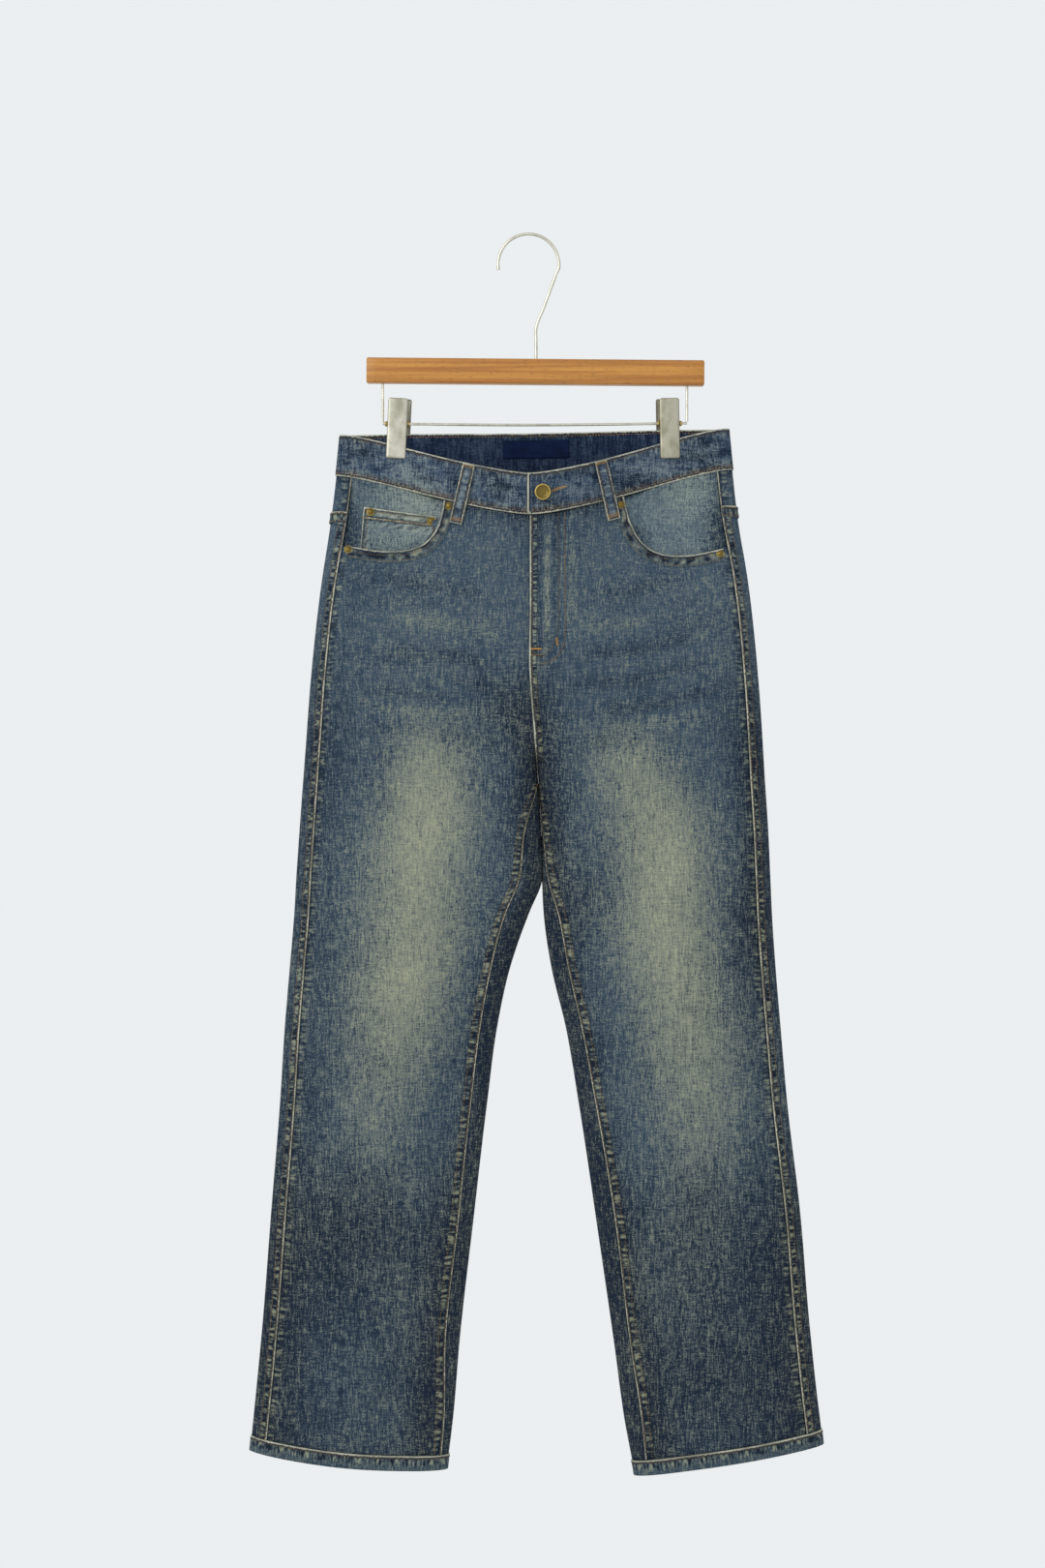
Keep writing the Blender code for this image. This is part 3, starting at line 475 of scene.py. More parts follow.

# %% [markdown]
# Vintage denim isn't one colour. The dye is palest down the middle of each thigh and over the knee and broken
# by whiskers at the hips. The sides and inner folds are darker, partly deeper dye and partly painted shade,
# and painted shadow lies in a band under the waistband. Each point of a piece gets three marks: how faded it
# is, how dark its dye and painted shade make it, and how far it lies from a worn edge. The material then
# turns the marks into colour.

# %% Fades, whiskers and painted shade
FADES = {
    "right": ((-108, 476, 50, 0.16), (-108, 536, 49, 0.78), (-111, 596, 51, 1.10), (-122, 656, 54, 0.98),
              (-126, 716, 58, 0.96), (-138, 776, 56, 1.06), (-147, 836, 58, 0.66), (-166, 916, 54, 0.36),
              (-140, 996, 60, 0.12), (-150, 1200, 60, 0.04)),
    "left": ((92, 476, 46, 0.14), (97, 536, 43, 0.72), (124, 596, 51, 0.94), (132, 656, 49, 1.10),
             (134, 716, 57, 1.02), (150, 776, 54, 0.96), (159, 836, 56, 0.80), (165, 916, 51, 0.56),
             (167, 996, 48, 0.24), (160, 1200, 60, 0.04)),
}
STREAK_COLUMNS = "side x_top down_top x_foot down_foot width strength"
WHISKERS = (
    ("right", -50, 375, -150, 360, 9, 0.75),
    ("right", -36, 408, -150, 398, 12, -0.80),
    ("right", -56, 400, -162, 381, 8, 0.70),
    ("right", -46, 446, -156, 431, 9, 0.85),
    ("right", -38, 470, -166, 440, 8, 0.80),
    ("right", -60, 456, -160, 446, 9, -0.60),
    ("right", -80, 486, -170, 474, 9, 0.70),
    ("right", -60, 500, -176, 490, 12, -0.65),
    ("right", -110, 362, -196, 352, 12, 0.40),
    ("right", -50, 522, -182, 508, 10, 0.50),
    ("left", 56, 372, 158, 352, 9, 0.70),
    ("left", 44, 402, 150, 384, 12, -0.75),
    ("left", 62, 392, 172, 372, 8, 0.65),
    ("left", 52, 434, 168, 416, 9, 0.80),
    ("left", 48, 462, 178, 438, 9, 0.80),
    ("left", 60, 450, 164, 430, 10, -0.60),
    ("left", 62, 492, 186, 468, 9, 0.75),
    ("left", 70, 510, 180, 492, 12, -0.55),
    ("left", 112, 404, 200, 392, 12, 0.40),
    ("left", 50, 520, 150, 508, 10, 0.45),
)
FLY_STREAKS = (
    ("left", 5.0, 290, 4.0, 440, 3.6, 1.00),
    ("left", 12.5, 306, 11.5, 440, 4.0, -1.50),
    ("left", 19.8, 292, 20.0, 420, 2.4, 1.00),
    ("left", 27.2, 300, 27.0, 412, 1.8, -0.60),
    ("left", 36.5, 306, 37.0, 408, 3.4, -0.90),
    ("left", 43.0, 300, 43.5, 390, 3.0, 0.40),
    ("left", 33.0, 428, 12.0, 450, 2.4, -0.70),
)

# Spots coloured darker or paler: some are deeper dye, and those at the crotch and by the side and inner folds
# are painted shade.
SPOTS_OF_DYE_AND_SHADE = (
    ("right", -193, 996, 62, 70, 0.38), ("left", 167, 996, 60, 60, 0.20), ("right", -36, 490, 34, 32, 0.34),
    ("left", 226, 700, 22, 70, 0.38), ("left", 230, 556, 22, 60, 0.34), ("left", 52, 682, 26, 50, 0.36),
    ("right", -150, 836, 50, 42, 0.24), ("left", 152, 830, 50, 42, 0.16), ("left", 192, 1176, 60, 60, 0.22),
    ("right", -203, 1176, 60, 56, -0.18), ("right", -118, 460, 50, 30, 0.18),
)


def spot_shade_and_dye_at(side, x, down):
    """Spots where one half is coloured darker, above 0, or paler than the other rules give: deeper dye, and
    painted shade at the crotch and along the leg folds.
    """
    total = np.zeros(np.broadcast(x, down).shape)
    for half, middle_x, middle_down, wide, tall, strength in SPOTS_OF_DYE_AND_SHADE:
        if half == side:
            total += strength * np.exp(-(((x - middle_x) / wide) ** 2) - ((down - middle_down) / tall) ** 2)
    return total


def fade_at(side, x, down):
    """How faded a front is, 0 to 1: a soft path down the middle of the thigh and over the knee."""
    stops = np.array(FADES[side], float)
    middle = np.interp(down, stops[:, 1], stops[:, 0])
    width = np.interp(down, stops[:, 1], stops[:, 2])
    strength = np.interp(down, stops[:, 1], stops[:, 3])
    strength = strength * ramp(down, 455, 545)
    return strength * np.exp(-(((x - middle) / width) ** 2))


def streaks_at(table, side, x, down):
    """Sum of a table's streaks on one half: above 0 darker, below 0 paler. Each bows down a little."""
    total = np.zeros(np.broadcast(x, down).shape)
    for entry in table:
        row = dict(zip(STREAK_COLUMNS.split(), entry))
        if row["side"] != side:
            continue
        run = np.array([row["x_foot"] - row["x_top"], row["down_foot"] - row["down_top"]])
        length = np.linalg.norm(run)
        run_x, run_down = run / length
        along = ((x - row["x_top"]) * run_x + (down - row["down_top"]) * run_down) / length
        across = (x - row["x_top"]) * run_down - (down - row["down_top"]) * run_x
        across = across + 0.04 * length * np.sin(math.pi * np.clip(along, 0, 1)) * abs(run_x)
        ends = ramp(along, -0.15, 0.2) * (1 - ramp(along, 0.75, 1.15))
        total = total + row["strength"] * ends * np.exp(-((across / row["width"]) ** 2))
    return total


def dye_marks(side, points, front):
    """The fade, and the depth of dye with painted shade, at points of one half, in millimetres on the hung
    garment.
    """
    x = points[..., 0]
    down = -points[..., 2]
    reach = np.abs(SIGN[side] * level("out_" + side, down) - x)
    fade = fade_at(side, x, down)
    streaks = streaks_at(WHISKERS, side, x, down) + streaks_at(FLY_STREAKS, side, x, down)
    inner_reach = np.abs(inner_x(side, down) - x)
    # Darker by the side folds and the inner folds: partly deeper dye, partly painted shade where the cloth
    # turns away from the light.
    sides = np.exp(-((reach / 46) ** 2)) * ramp(down, 280, 560)
    inner = np.exp(-((inner_reach / 34) ** 2)) * ramp(down, 400, 520)
    by_seam = np.exp(-((inner_reach / 13) ** 2)) * ramp(down, 560, 610)
    inner = inner + 0.7 * by_seam * (1 - 0.5 * ramp(down, 700, 900))
    shin = ramp(down, 900, 1080)
    # Painted shadow in a band just under the waistband seam.
    shade_under_band = np.exp(-(np.clip(down - sag(x, True) - WAIST_SEAM, 0, None) / 9.0))
    seat = np.exp(-(((down - 430) / 90) ** 2) - (((np.abs(x) - 105) / 70) ** 2))
    knee_back = np.exp(-(((down - 900) / 120) ** 2) - (((np.abs(x) - 150) / 60) ** 2))
    fade = fade * (1 - 0.3 * sides) * (1 - 0.7 * inner)
    fade = np.where(front, fade + 0.40 * np.clip(-streaks, 0, 1.5), 0.30 * seat + 0.18 * knee_back)
    # This sums deeper dye with painted shade: at the sides and inner folds, and the painted shadow under the
    # waistband.
    shade_and_dye_front = 0.52 * sides + 0.85 * inner + 0.46 * np.clip(streaks, 0, 1) + 0.5 * shin + 0.8 * shade_under_band
    dye_and_shade = np.where(front, shade_and_dye_front + spot_shade_and_dye_at(side, x, down), 0.40 + 0.3 * sides)
    return {"fade": np.clip(fade, 0, 1), "dye_and_shade": np.clip(dye_and_shade * (1 - 0.5 * fade), 0, 1)}


print("fade path:", len(FADES["right"]), "stops a leg;", len(WHISKERS), "whiskers")

# %% [markdown]
# Blender's materials are graphs of nodes. These small helpers add a node, join it and give back its output,
# so that each finish below reads as a short recipe.

# %% Helpers for materials
def add_node(tree, kind, settings=None, **inputs):
    """A new node with its settings, and its inputs set or joined by their names, _ for a space."""
    made = tree.nodes.new(kind)
    for name, value in (settings or {}).items():
        setattr(made, name, value)
    for name, value in inputs.items():
        put(tree, made.inputs[name.replace("_", " ")], value)
    return made


def put(tree, socket, value):
    if isinstance(value, bpy.types.NodeSocket):
        tree.links.new(value, socket)
    else:
        socket.default_value = value


def calc(tree, operation, a, b=0.0, limit=False):
    made = tree.nodes.new("ShaderNodeMath")
    made.operation = operation
    made.use_clamp = limit
    put(tree, made.inputs[0], a)
    put(tree, made.inputs[1], b)
    return made.outputs[0]


def stretched(tree, size):
    """Object coordinates in metres, divided by the size in millimetres of one grain each way."""
    place = add_node(tree, "ShaderNodeTexCoord").outputs["Object"]
    scale = tuple(1 / (value * MM) for value in size)
    return add_node(tree, "ShaderNodeMapping", Vector=place, Scale=scale).outputs[0]


def grain(tree, size, detail=2.0, rough=0.5):
    """Noise, 0 to 1, with grains of a size in millimetres along x, y and z."""
    made = add_node(tree, "ShaderNodeTexNoise", Vector=stretched(tree, size), Scale=1.0, Detail=detail)
    made.inputs["Roughness"].default_value = rough
    return made.outputs["Fac"]


def mark(tree, name):
    return add_node(tree, "ShaderNodeAttribute", {"attribute_name": name}).outputs["Fac"]


def eased(tree, value, start, end, low=0.0, high=1.0):
    made = add_node(tree, "ShaderNodeMapRange", {"interpolation_type": "SMOOTHSTEP"}, Value=value)
    for name, number in (("From Min", start), ("From Max", end), ("To Min", low), ("To Max", high)):
        made.inputs[name].default_value = number
    return made.outputs["Result"]


def mixed(tree, factor, a, b, way="MIX"):
    """One colour laid over another by a factor."""
    made = add_node(tree, "ShaderNodeMix", {"data_type": "RGBA", "blend_type": way, "clamp_factor": True})
    put(tree, made.inputs[0], factor)
    put(tree, made.inputs[6], a if isinstance(a, bpy.types.NodeSocket) else (*a, 1))
    put(tree, made.inputs[7], b if isinstance(b, bpy.types.NodeSocket) else (*b, 1))
    return made.outputs[2]


def start_material(name, roughness, metallic=0.0):
    material = bpy.data.materials.new(name)
    material.use_nodes = True
    shader = material.node_tree.nodes["Principled BSDF"]
    shader.inputs["Roughness"].default_value = roughness
    shader.inputs["Metallic"].default_value = metallic
    return material, material.node_tree, shader


def add_bump(tree, shader, height, distance, strength=1.0):
    bump = add_node(tree, "ShaderNodeBump", Height=height, Distance=distance * MM, Strength=strength)
    tree.links.new(bump.outputs[0], shader.inputs["Normal"])


print("material helpers ready")

# %% [markdown]
# Denim is a twill: indigo warp yarns run down the leg over a pale weft, so wear shows as short upright
# streaks and flecks, with fine diagonal ribs close up. Next to a worn edge the shader adds the cream line,
# the shadow beside it and the dark and light knots that a shrunk seam rubs into the cloth.

# %% Denim
INDIGO = linear(60, 77, 93)
SHADE_AND_DEEP_INDIGO = linear(23, 35, 51)
FADED = linear(168, 170, 141)
CREAM = linear(192, 191, 172)


def denim(name, middle=INDIGO, dye_and_shade=SHADE_AND_DEEP_INDIGO, faded=FADED, worn=1.0, knots=1.0, mottle=0.25, pucker=0.5):
    """Twill with its wear and painted shade. The marks for fade, for dye depth with painted shade, for edge
    (mm from a worn edge) and along (mm) steer it.
    """
    material, tree, shader = start_material(name, 0.92)
    blot = grain(tree, (17.0, 17.0, 9.0), detail=2.0)
    warp = grain(tree, (1.3, 1.3, 11.0))
    weft = grain(tree, (9.0, 9.0, 1.3))
    fleck = grain(tree, (1.1, 1.1, 1.1), detail=1.0)
    cloud = grain(tree, (85.0, 85.0, 120.0), detail=3.0)
    slub = grain(tree, (5.0, 5.0, 55.0))
    yarns = calc(tree, "ADD", calc(tree, "MULTIPLY", calc(tree, "SUBTRACT", warp, 0.5), 1.3),
                 calc(tree, "MULTIPLY", calc(tree, "SUBTRACT", weft, 0.5), 0.8))
    yarns = calc(tree, "ADD", yarns, calc(tree, "MULTIPLY", calc(tree, "SUBTRACT", fleck, 0.5), 1.3))
    broad = calc(tree, "ADD", calc(tree, "MULTIPLY", calc(tree, "SUBTRACT", cloud, 0.5), 0.7),
                 calc(tree, "MULTIPLY", calc(tree, "SUBTRACT", slub, 0.5), pucker))
    broad = calc(tree, "ADD", broad, calc(tree, "MULTIPLY", calc(tree, "SUBTRACT", blot, 0.5), mottle))
    rubs = calc(tree, "ADD", calc(tree, "MULTIPLY", yarns, 0.75), calc(tree, "MULTIPLY", broad, 0.32))
    wear = calc(tree, "ADD", calc(tree, "MULTIPLY", mark(tree, "fade"), 0.5), rubs)
    # The dye depth mark darkens the colour towards the deep colour: deeper dye, and painted shade where the
    # marks put it.
    dark = calc(tree, "SUBTRACT", mark(tree, "dye_and_shade"), calc(tree, "ADD", yarns, broad))
    colour = mixed(tree, eased(tree, dark, -0.15, 1.1), middle, dye_and_shade)
    colour = mixed(tree, calc(tree, "MULTIPLY", wear, worn, limit=True), colour, faded)
    edge = mark(tree, "edge")
    along = mark(tree, "along")
    place = add_node(tree, "ShaderNodeCombineXYZ", X=calc(tree, "MULTIPLY", along, 0.34),
                     Y=calc(tree, "MULTIPLY", edge, 0.10)).outputs[0]
    knot = add_node(tree, "ShaderNodeTexNoise", Vector=place, Scale=1.0, Detail=1.5).outputs["Fac"]
    by_seam = calc(tree, "SUBTRACT", 1.0, eased(tree, edge, 7.5, 12.0))
    pale_knot = calc(tree, "MULTIPLY", eased(tree, knot, 0.5, 0.7, 0, 0.34 * knots), by_seam)
    dark_knot = calc(tree, "MULTIPLY", eased(tree, knot, 0.52, 0.36, 0, 0.64 * knots), by_seam)
    colour = mixed(tree, dark_knot, colour, tuple(0.7 * v for v in dye_and_shade))
    colour = mixed(tree, pale_knot, colour, faded)
    shadow = calc(tree, "SUBTRACT", 1.0, eased(tree, edge, 1.9, 4.5))
    colour = mixed(tree, calc(tree, "MULTIPLY", shadow, 0.75), colour, tuple(0.6 * v for v in dye_and_shade))
    ragged = calc(tree, "ADD", edge, calc(tree, "MULTIPLY", calc(tree, "SUBTRACT", knot, 0.5), 3.0))
    rim = calc(tree, "SUBTRACT", 1.0, eased(tree, ragged, 0.8, 1.7))
    rubbed = eased(tree, grain(tree, (26.0, 26.0, 26.0), detail=3.0), 0.34, 0.6, 0.45, 0.86)
    colour = mixed(tree, calc(tree, "MULTIPLY", rim, rubbed), colour, CREAM)
    tree.links.new(colour, shader.inputs["Base Color"])
    twill = add_node(tree, "ShaderNodeTexWave", {"bands_direction": "DIAGONAL"},
                     Vector=stretched(tree, (1.5, 900.0, 1.0)), Scale=0.5, Distortion=0.4).outputs["Fac"]
    height = calc(tree, "ADD", calc(tree, "MULTIPLY", twill, 0.35), calc(tree, "ADD", warp, weft))
    add_bump(tree, shader, height, 0.25, 0.6)
    shader.inputs["Specular IOR Level"].default_value = 0.12
    return material


denim_cloth = denim("worn_denim")
denim_pocket = denim("pocket_denim", middle=linear(84, 100, 110), dye_and_shade=linear(30, 45, 62),
                     faded=linear(160, 168, 152))
denim_band = denim("waistband_denim", middle=linear(52, 70, 94), faded=linear(158, 168, 158), mottle=1.7,
                   knots=0.8)
band_inside = denim("waistband_inside", middle=linear(22, 35, 60), dye_and_shade=linear(12, 22, 42),
                    faded=linear(92, 108, 120), worn=0.8, knots=0.6, mottle=1.0, pucker=2.6)
denim_seam = denim("seam_denim", middle=linear(64, 80, 92), dye_and_shade=linear(24, 36, 52), knots=1.5)
print("denim:", denim_cloth.name, denim_pocket.name, denim_band.name, denim_seam.name)

# %% [markdown]
# A cloth piece is made from a grid of points as one open sheet, and the Solidify modifier gives it its
# thickness. That keeps the wall even round every fold, which two separate skins would not.


def cloth(name, points, thickness, material, nodes=(), marks=None, ring=False, keep=None, inside=None):
    """A wall of even thickness about a grid of points in millimetres, with its marks as attributes."""
    rows, columns = points.shape[:2]
    index = np.arange(rows * columns).reshape(rows, columns)
    right = np.roll(index, -1, axis=1) if ring else index[:, 1:]
    left = index if ring else index[:, :-1]
    faces = np.stack([left[:-1], left[1:], right[1:], right[:-1]], axis=-1).reshape(-1, 4)
    if keep is not None:
        faces = faces[keep.reshape(-1)[faces].any(axis=1)]
    used = np.unique(faces)
    renumber = np.zeros(rows * columns, int)
    renumber[used] = np.arange(len(used))
    mesh = bpy.data.meshes.new(name)
    mesh.from_pydata((points.reshape(-1, 3)[used] * MM).tolist(), [], renumber[faces].tolist())
    for mark_name, values in (marks or {}).items():
        layer = mesh.attributes.new(mark_name, "FLOAT", "POINT")
        spread = np.broadcast_to(values, (rows, columns)).reshape(-1)
        layer.data.foreach_set("value", spread[used].astype(np.float32))
    mesh.materials.append(material)
    mesh.shade_smooth()
    piece = bpy.data.objects.new(name, mesh)
    bpy.context.scene.collection.objects.link(piece)
    wall = piece.modifiers.new("Wall", "SOLIDIFY")
    wall.thickness = thickness * MM
    wall.offset = 0.0
    wall.use_even_offset = True
    wall.use_quality_normals = True
    if inside:
        mesh.materials.append(inside)
        wall.material_offset = 1
    finish_piece(piece, nodes)
    return piece


def finish_piece(piece, nodes=()):
    """Every piece rides on the one body and stands for its solids."""
    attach(piece, "root")
    if nodes:
        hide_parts(*nodes)


def crease_lines(along, seed):
    """An uneven ripple, about -1 to 1, as a shrunk seam pulls up along its length in millimetres."""
    slow = np.sin(along / 23.0 + 2.1 * seed) * 1.6
    return np.sin(along / 1.35 + slow + seed) * 0.6 + np.sin(along / 2.9 + 1.3 * slow - seed) * 0.4


print("cloth maker ready")

# %% [markdown]
# The two fronts lap at the fly, the wearer's left over the right, and each has a curved pocket mouth cut
# from its upper corner. The grid is trimmed at the mouth: cells outside go, and their last points move to
# the curve, so the edge is clean.

# %% Fronts
def panel_levels(top, step=4.2):
    return spaced(top, HEM_LEVEL - HEM_HEIGHT - SEAM_GAP, step)


def front_panel(side):
    return Panel(
        side, panel_levels(WAIST_SEAM + BAND_GAP), 58,
        first=lambda down: beside(side, -outseam_angle(side, down), down, 0.45),
        last=lambda down: -math.pi + inseam_angle(side, down),
    )


def mouth_curve(side, steps=60):
    """The pocket mouth from the waistband seam to the outseam, as x and down on the hung garment."""
    handles = [Vector((x, down, 0)) for x, down in POCKET_MOUTH[side]]
    return np.array([(point.x, point.y) for point in interpolate_bezier(*handles, steps)])


def outside_mouth(side, points):
    """True where a point lies above and outside the pocket's mouth."""
    curve = mouth_curve(side)
    reach = np.abs(curve[:, 0])
    x = points[..., 0] * SIGN[side]
    line = np.interp(x, reach, curve[:, 1])
    return (x > reach[0]) & (-points[..., 2] < line)


def by_leg_seams(panel):
    """How far each point lies from the leg seams, past their worn line, and how far down it is."""
    here = panel.points[..., 0]
    outer = np.abs(here - panel.points[:, :1, 0])
    inner = np.abs(here - panel.points[:, -1:, 0]) + 40 * (1 - ramp(panel.level, 556, 580))
    # The 2.6 mm start puts the front beside each leg seam in the denim shader's painted shadow.
    return 2.6 + np.minimum(outer, inner), panel.level + np.where(outer < inner, 0, 400)


fronts = {side: front_panel(side) for side in SIDES}
for side, panel in fronts.items():
    points = panel.points.copy()
    gone = outside_mouth(side, points)
    curve = mouth_curve(side)
    angle, row = panel.find(curve[:, 0], curve[:, 1])
    seat = panel.at(angle, row, 0.0)
    near_edge = np.zeros(gone.shape, bool)
    near_edge[:-1] |= ~gone[1:]
    near_edge[:, 1:] |= ~gone[:, :-1]
    near_edge[:, :-1] |= ~gone[:, 1:]
    near_edge[:-1, 1:] |= ~gone[1:, :-1]
    near_edge[:-1, :-1] |= ~gone[1:, 1:]
    near_edge &= gone
    gaps = np.linalg.norm(points[near_edge][:, None, [0, 2]] - seat[None, :, [0, 2]], axis=-1)
    points[near_edge] = seat[gaps.argmin(axis=1)]
    marks = dye_marks(side, panel.points, True)
    marks["edge"], marks["along"] = by_leg_seams(panel)
    cloth("front_cloth_" + side, points, DENIM, denim_cloth, ["front_" + side], marks,
          keep=~gone)

# %% [markdown]
# The backs are wider than the fronts: they wrap round the side fold to the outseam and round the inner fold
# to the inseam. A yoke joins each back to the waistband and gives the seat its shape.

# %% Backs and yokes
def seat_end(side, down):
    """Where the back ends: at the centre seam above the crotch and the inner-leg seam below it."""
    seam = math.pi + inseam_angle(side, down)
    gap = 0.7 + 0.5 * (1 - ramp(down, 600, 760))
    return beside(side, seam, down, gap * ramp(down, 520, 545))


def yoke_shift(angle, down):
    p = (1 - np.cos(np.clip(angle, 0, math.pi))) / 2
    return YOKE_DROP * p * (1 - ramp(down, YOKE_SIDE, CROTCH - 20))


def back_panel(side):
    return Panel(
        side, panel_levels(YOKE_SIDE + SEAM_GAP), 96,
        first=lambda down: -outseam_angle(side, down),
        last=lambda down: seat_end(side, down),
        shift=yoke_shift,
    )


def yoke_panel(side):
    top = WAIST_SEAM - 0.6

    def shift(angle, row):
        foot = YOKE_SIDE - SEAM_GAP + yoke_shift(angle, np.full(np.shape(angle), YOKE_SIDE))
        return top + (foot - top) * row - row

    return Panel(
        side, np.linspace(0, 1, 20), 80,
        first=lambda row: -outseam_angle(side, YOKE_SIDE + 0 * row),
        last=lambda row: np.full(np.shape(row), math.pi),
        shift=shift,
    )


backs = {side: back_panel(side) for side in SIDES}
yokes = {side: yoke_panel(side) for side in SIDES}
for side in SIDES:
    for name, panel in (("back", backs[side]), ("yoke", yokes[side])):
        on_front = (panel.angle < 0) | (panel.angle > math.pi)
        marks = dye_marks(side, panel.points, on_front)
        front_edge = np.linalg.norm(panel.points - panel.points[:, :1], axis=-1)
        marks["edge"] = front_edge + 0.3 if name == "yoke" else 99.0
        marks["along"] = panel.level
        solids = [f"{name}_{side}"]
        cloth(f"{name}_cloth_{side}", panel.points, DENIM, denim_cloth, solids, marks)

# %% [markdown]
# Inside each hip pocket shows the facing, less worn than the front. It lies two layers under the mouth, and
# painted shade darkens it under the waistband seam, beside the outseam and along the mouth's edge.

# %% Pocket facings
FACING_MARGIN = 13.0
FACING_FADE_AND_SHADE = {"right": (30, 42, 0.78, 0.1), "left": (70, 34, 0.5, 1.0)}


def facing_depth(x, down):
    """How far the facing lies under the front: two layers, and none where the clip pinches it."""
    below_clip = ramp(down, 248, 266)
    beside_mouth = 1 - ramp(np.abs(x), 100, 122)
    return -2 * INNER_LAYER * np.maximum(below_clip, beside_mouth)


for side in SIDES:
    mouth = mouth_curve(side)
    out = SIGN[side]
    rows = spaced(WAIST_SEAM + BAND_GAP, mouth[:, 1].max() + FACING_MARGIN, 3.0)[:, None]
    width = np.abs(inner_x(side, rows) - out * level("out_" + side, rows))
    reach = np.abs(mouth[0][0] - out * FACING_MARGIN - out * level("out_" + side, rows))
    start = -outseam_angle(side, rows)
    end = -np.arccos(1 - 2 * reach / width)
    angle = start + (end - start) * np.linspace(0, 1, 40)[None, :]
    downs = np.broadcast_to(rows, angle.shape)
    seen = section_point(side, angle, downs)
    points = fronts[side].at(angle, downs, facing_depth(seen[..., 0], downs))
    from_front = np.abs(points[..., 0] - mouth[0][0])
    shade_under_seam = np.exp(-(rows - WAIST_SEAM) / 7.0)
    low = ramp(rows, 262, 300)
    middle, wide, strength, shade_by_mouth = FACING_FADE_AND_SHADE[side]
    # Painted shade: under the waistband seam, in a band beside the outseam and along the mouth's edge.
    dye_and_shade = 1.0 * np.exp(-(((from_front - 104) / 16) ** 2)) * (0.3 + 0.7 * low) + 0.5 * shade_under_seam
    dye_and_shade = dye_and_shade + shade_by_mouth * np.exp(-(((from_front - 8) / 18) ** 2)) * low
    fade = strength * np.exp(-(((from_front - middle) / wide) ** 2)) * (1 - 0.6 * low)
    marks = {"fade": fade, "dye_and_shade": dye_and_shade, "edge": 99.0}
    solids = ["pocket_facing_" + side]
    cloth("facing_cloth_" + side, points, DENIM, denim_pocket, solids, marks)

# %% [markdown]
# The waistband is one strip folded at its top, sewn over the cloth's upper edge, with its two ends lapped at
# the button. It is pinched flat at the clips and bows out between them.

# %% Waistband
def towards(start, end):
    """Samples of x from start to a side fold, closer together near the fold."""
    near = np.array([14.0, 11.0, 8.5, 6.5, 4.8, 3.4, 2.2, 1.2, 0.5, 0.0])
    to_fold = end - math.copysign(1, end) * near
    return np.concatenate([spaced(start, end - math.copysign(16, end), 4.0), to_fold])


def band_path():
    """The strip's x, whether it is on the front, and its layer, from the upper end round to the lower end."""
    left, right = 199.5, -201.0
    out_left, out_right = towards(-8.0, left), towards(24.0, right)
    across = np.concatenate([towards(0.0, left)[::-1][1:], towards(0.0, right)[1:]])
    x = np.concatenate([out_left, across, out_right[::-1][1:]])
    front = np.concatenate([np.ones(len(out_left)), np.zeros(len(across)), np.ones(len(out_right) - 1)]) > 0
    over = np.concatenate([np.ones(len(out_left)), np.zeros(len(across) + len(out_right) - 1)]) > 0
    return x, front, over


def band_points(levels, out=0.0):
    """Points of the waistband at levels between its top and its seam, moved outwards from its middle."""
    x, front, over = band_path()
    x, front, over = x[None, :], front[None, :], over[None, :]
    down = np.asarray(levels, float)[:, None]
    edge = np.where(x > 0, 199.5, -201.0)
    nosed = nose(np.abs(edge - x) / HALF_WAIST, 0.04)
    y = waist_depth(x, front) * nosed + 0 * down
    y = y + np.where(front & over, 1.7 * (1 - ramp(x, 24, 70)), 0.0)
    y = y - np.where(front & ~over, 1.7 * ramp(x, -60, -8), 0.0)
    spread = (down - WAIST_TOP) * 0.1 * np.abs(x) / HALF_WAIST
    points = np.stack([x + np.sign(x) * spread, np.where(front, -1, 1) * y, -(down + sag(x, front))], axis=-1)
    across = np.gradient(points, axis=1)
    normal = np.stack([across[..., 1], -across[..., 0], 0 * across[..., 0]], axis=-1)
    normal = normal / np.linalg.norm(normal, axis=-1, keepdims=True)
    return points + normal * np.asarray(out, float)[..., None]


band_levels = spaced(WAIST_TOP, WAIST_SEAM, 1.7)
plain_band = band_points(band_levels)
band_along = np.concatenate([[0], np.cumsum(np.linalg.norm(np.diff(plain_band[0], axis=0), axis=-1))])
from_edge = np.minimum(band_levels - WAIST_TOP, WAIST_SEAM - band_levels)[:, None]
from_end = np.minimum(band_along, band_along[-1] - band_along)[None, :]
band_ripple = 0.22 * crease_lines(band_along, 2.0)[None, :] * np.exp(-from_edge / 5.0)
band_grid = band_points(band_levels, band_ripple)
band_fade = np.full(band_grid.shape[:2], 0.12)
band_deep = np.full(band_grid.shape[:2], 0.12)
BAND_PATCHES = (
    (-116, 34, 28, 16, 0.62), (-192, 30, 16, 10, 0.30), (-28, 30, 22, 9, 0.22), (124, 22, 22, 9, 0.26),
    (45, 26, 20, 8, 0.20), (-182, 12, 22, 9, -0.60), (-84, 18, 10, 14, -0.30), (-36, 12, 24, 9, -0.50),
    (14, 34, 16, 16, -0.60), (100, 33, 26, 14, -0.50), (172, 22, 26, 18, -0.55), (60, 10, 18, 6, -0.45),
    (-42, 20, 18, 9, -0.35),
)
for x, level_down, wide, tall, strength in BAND_PATCHES:
    slant = band_levels[:, None] - WAIST_TOP - level_down - 0.22 * (plain_band[..., 0] - x)
    patch = np.exp(-(((plain_band[..., 0] - x) / wide) ** 2) - (slant / tall) ** 2) * (plain_band[..., 1] < 0)
    band_fade += max(strength, 0) * patch
    band_deep += max(-strength, 0) * patch
marks = {"fade": band_fade, "dye_and_shade": band_deep, "edge": np.minimum(from_edge, from_end),
         "along": band_along[None, :]}
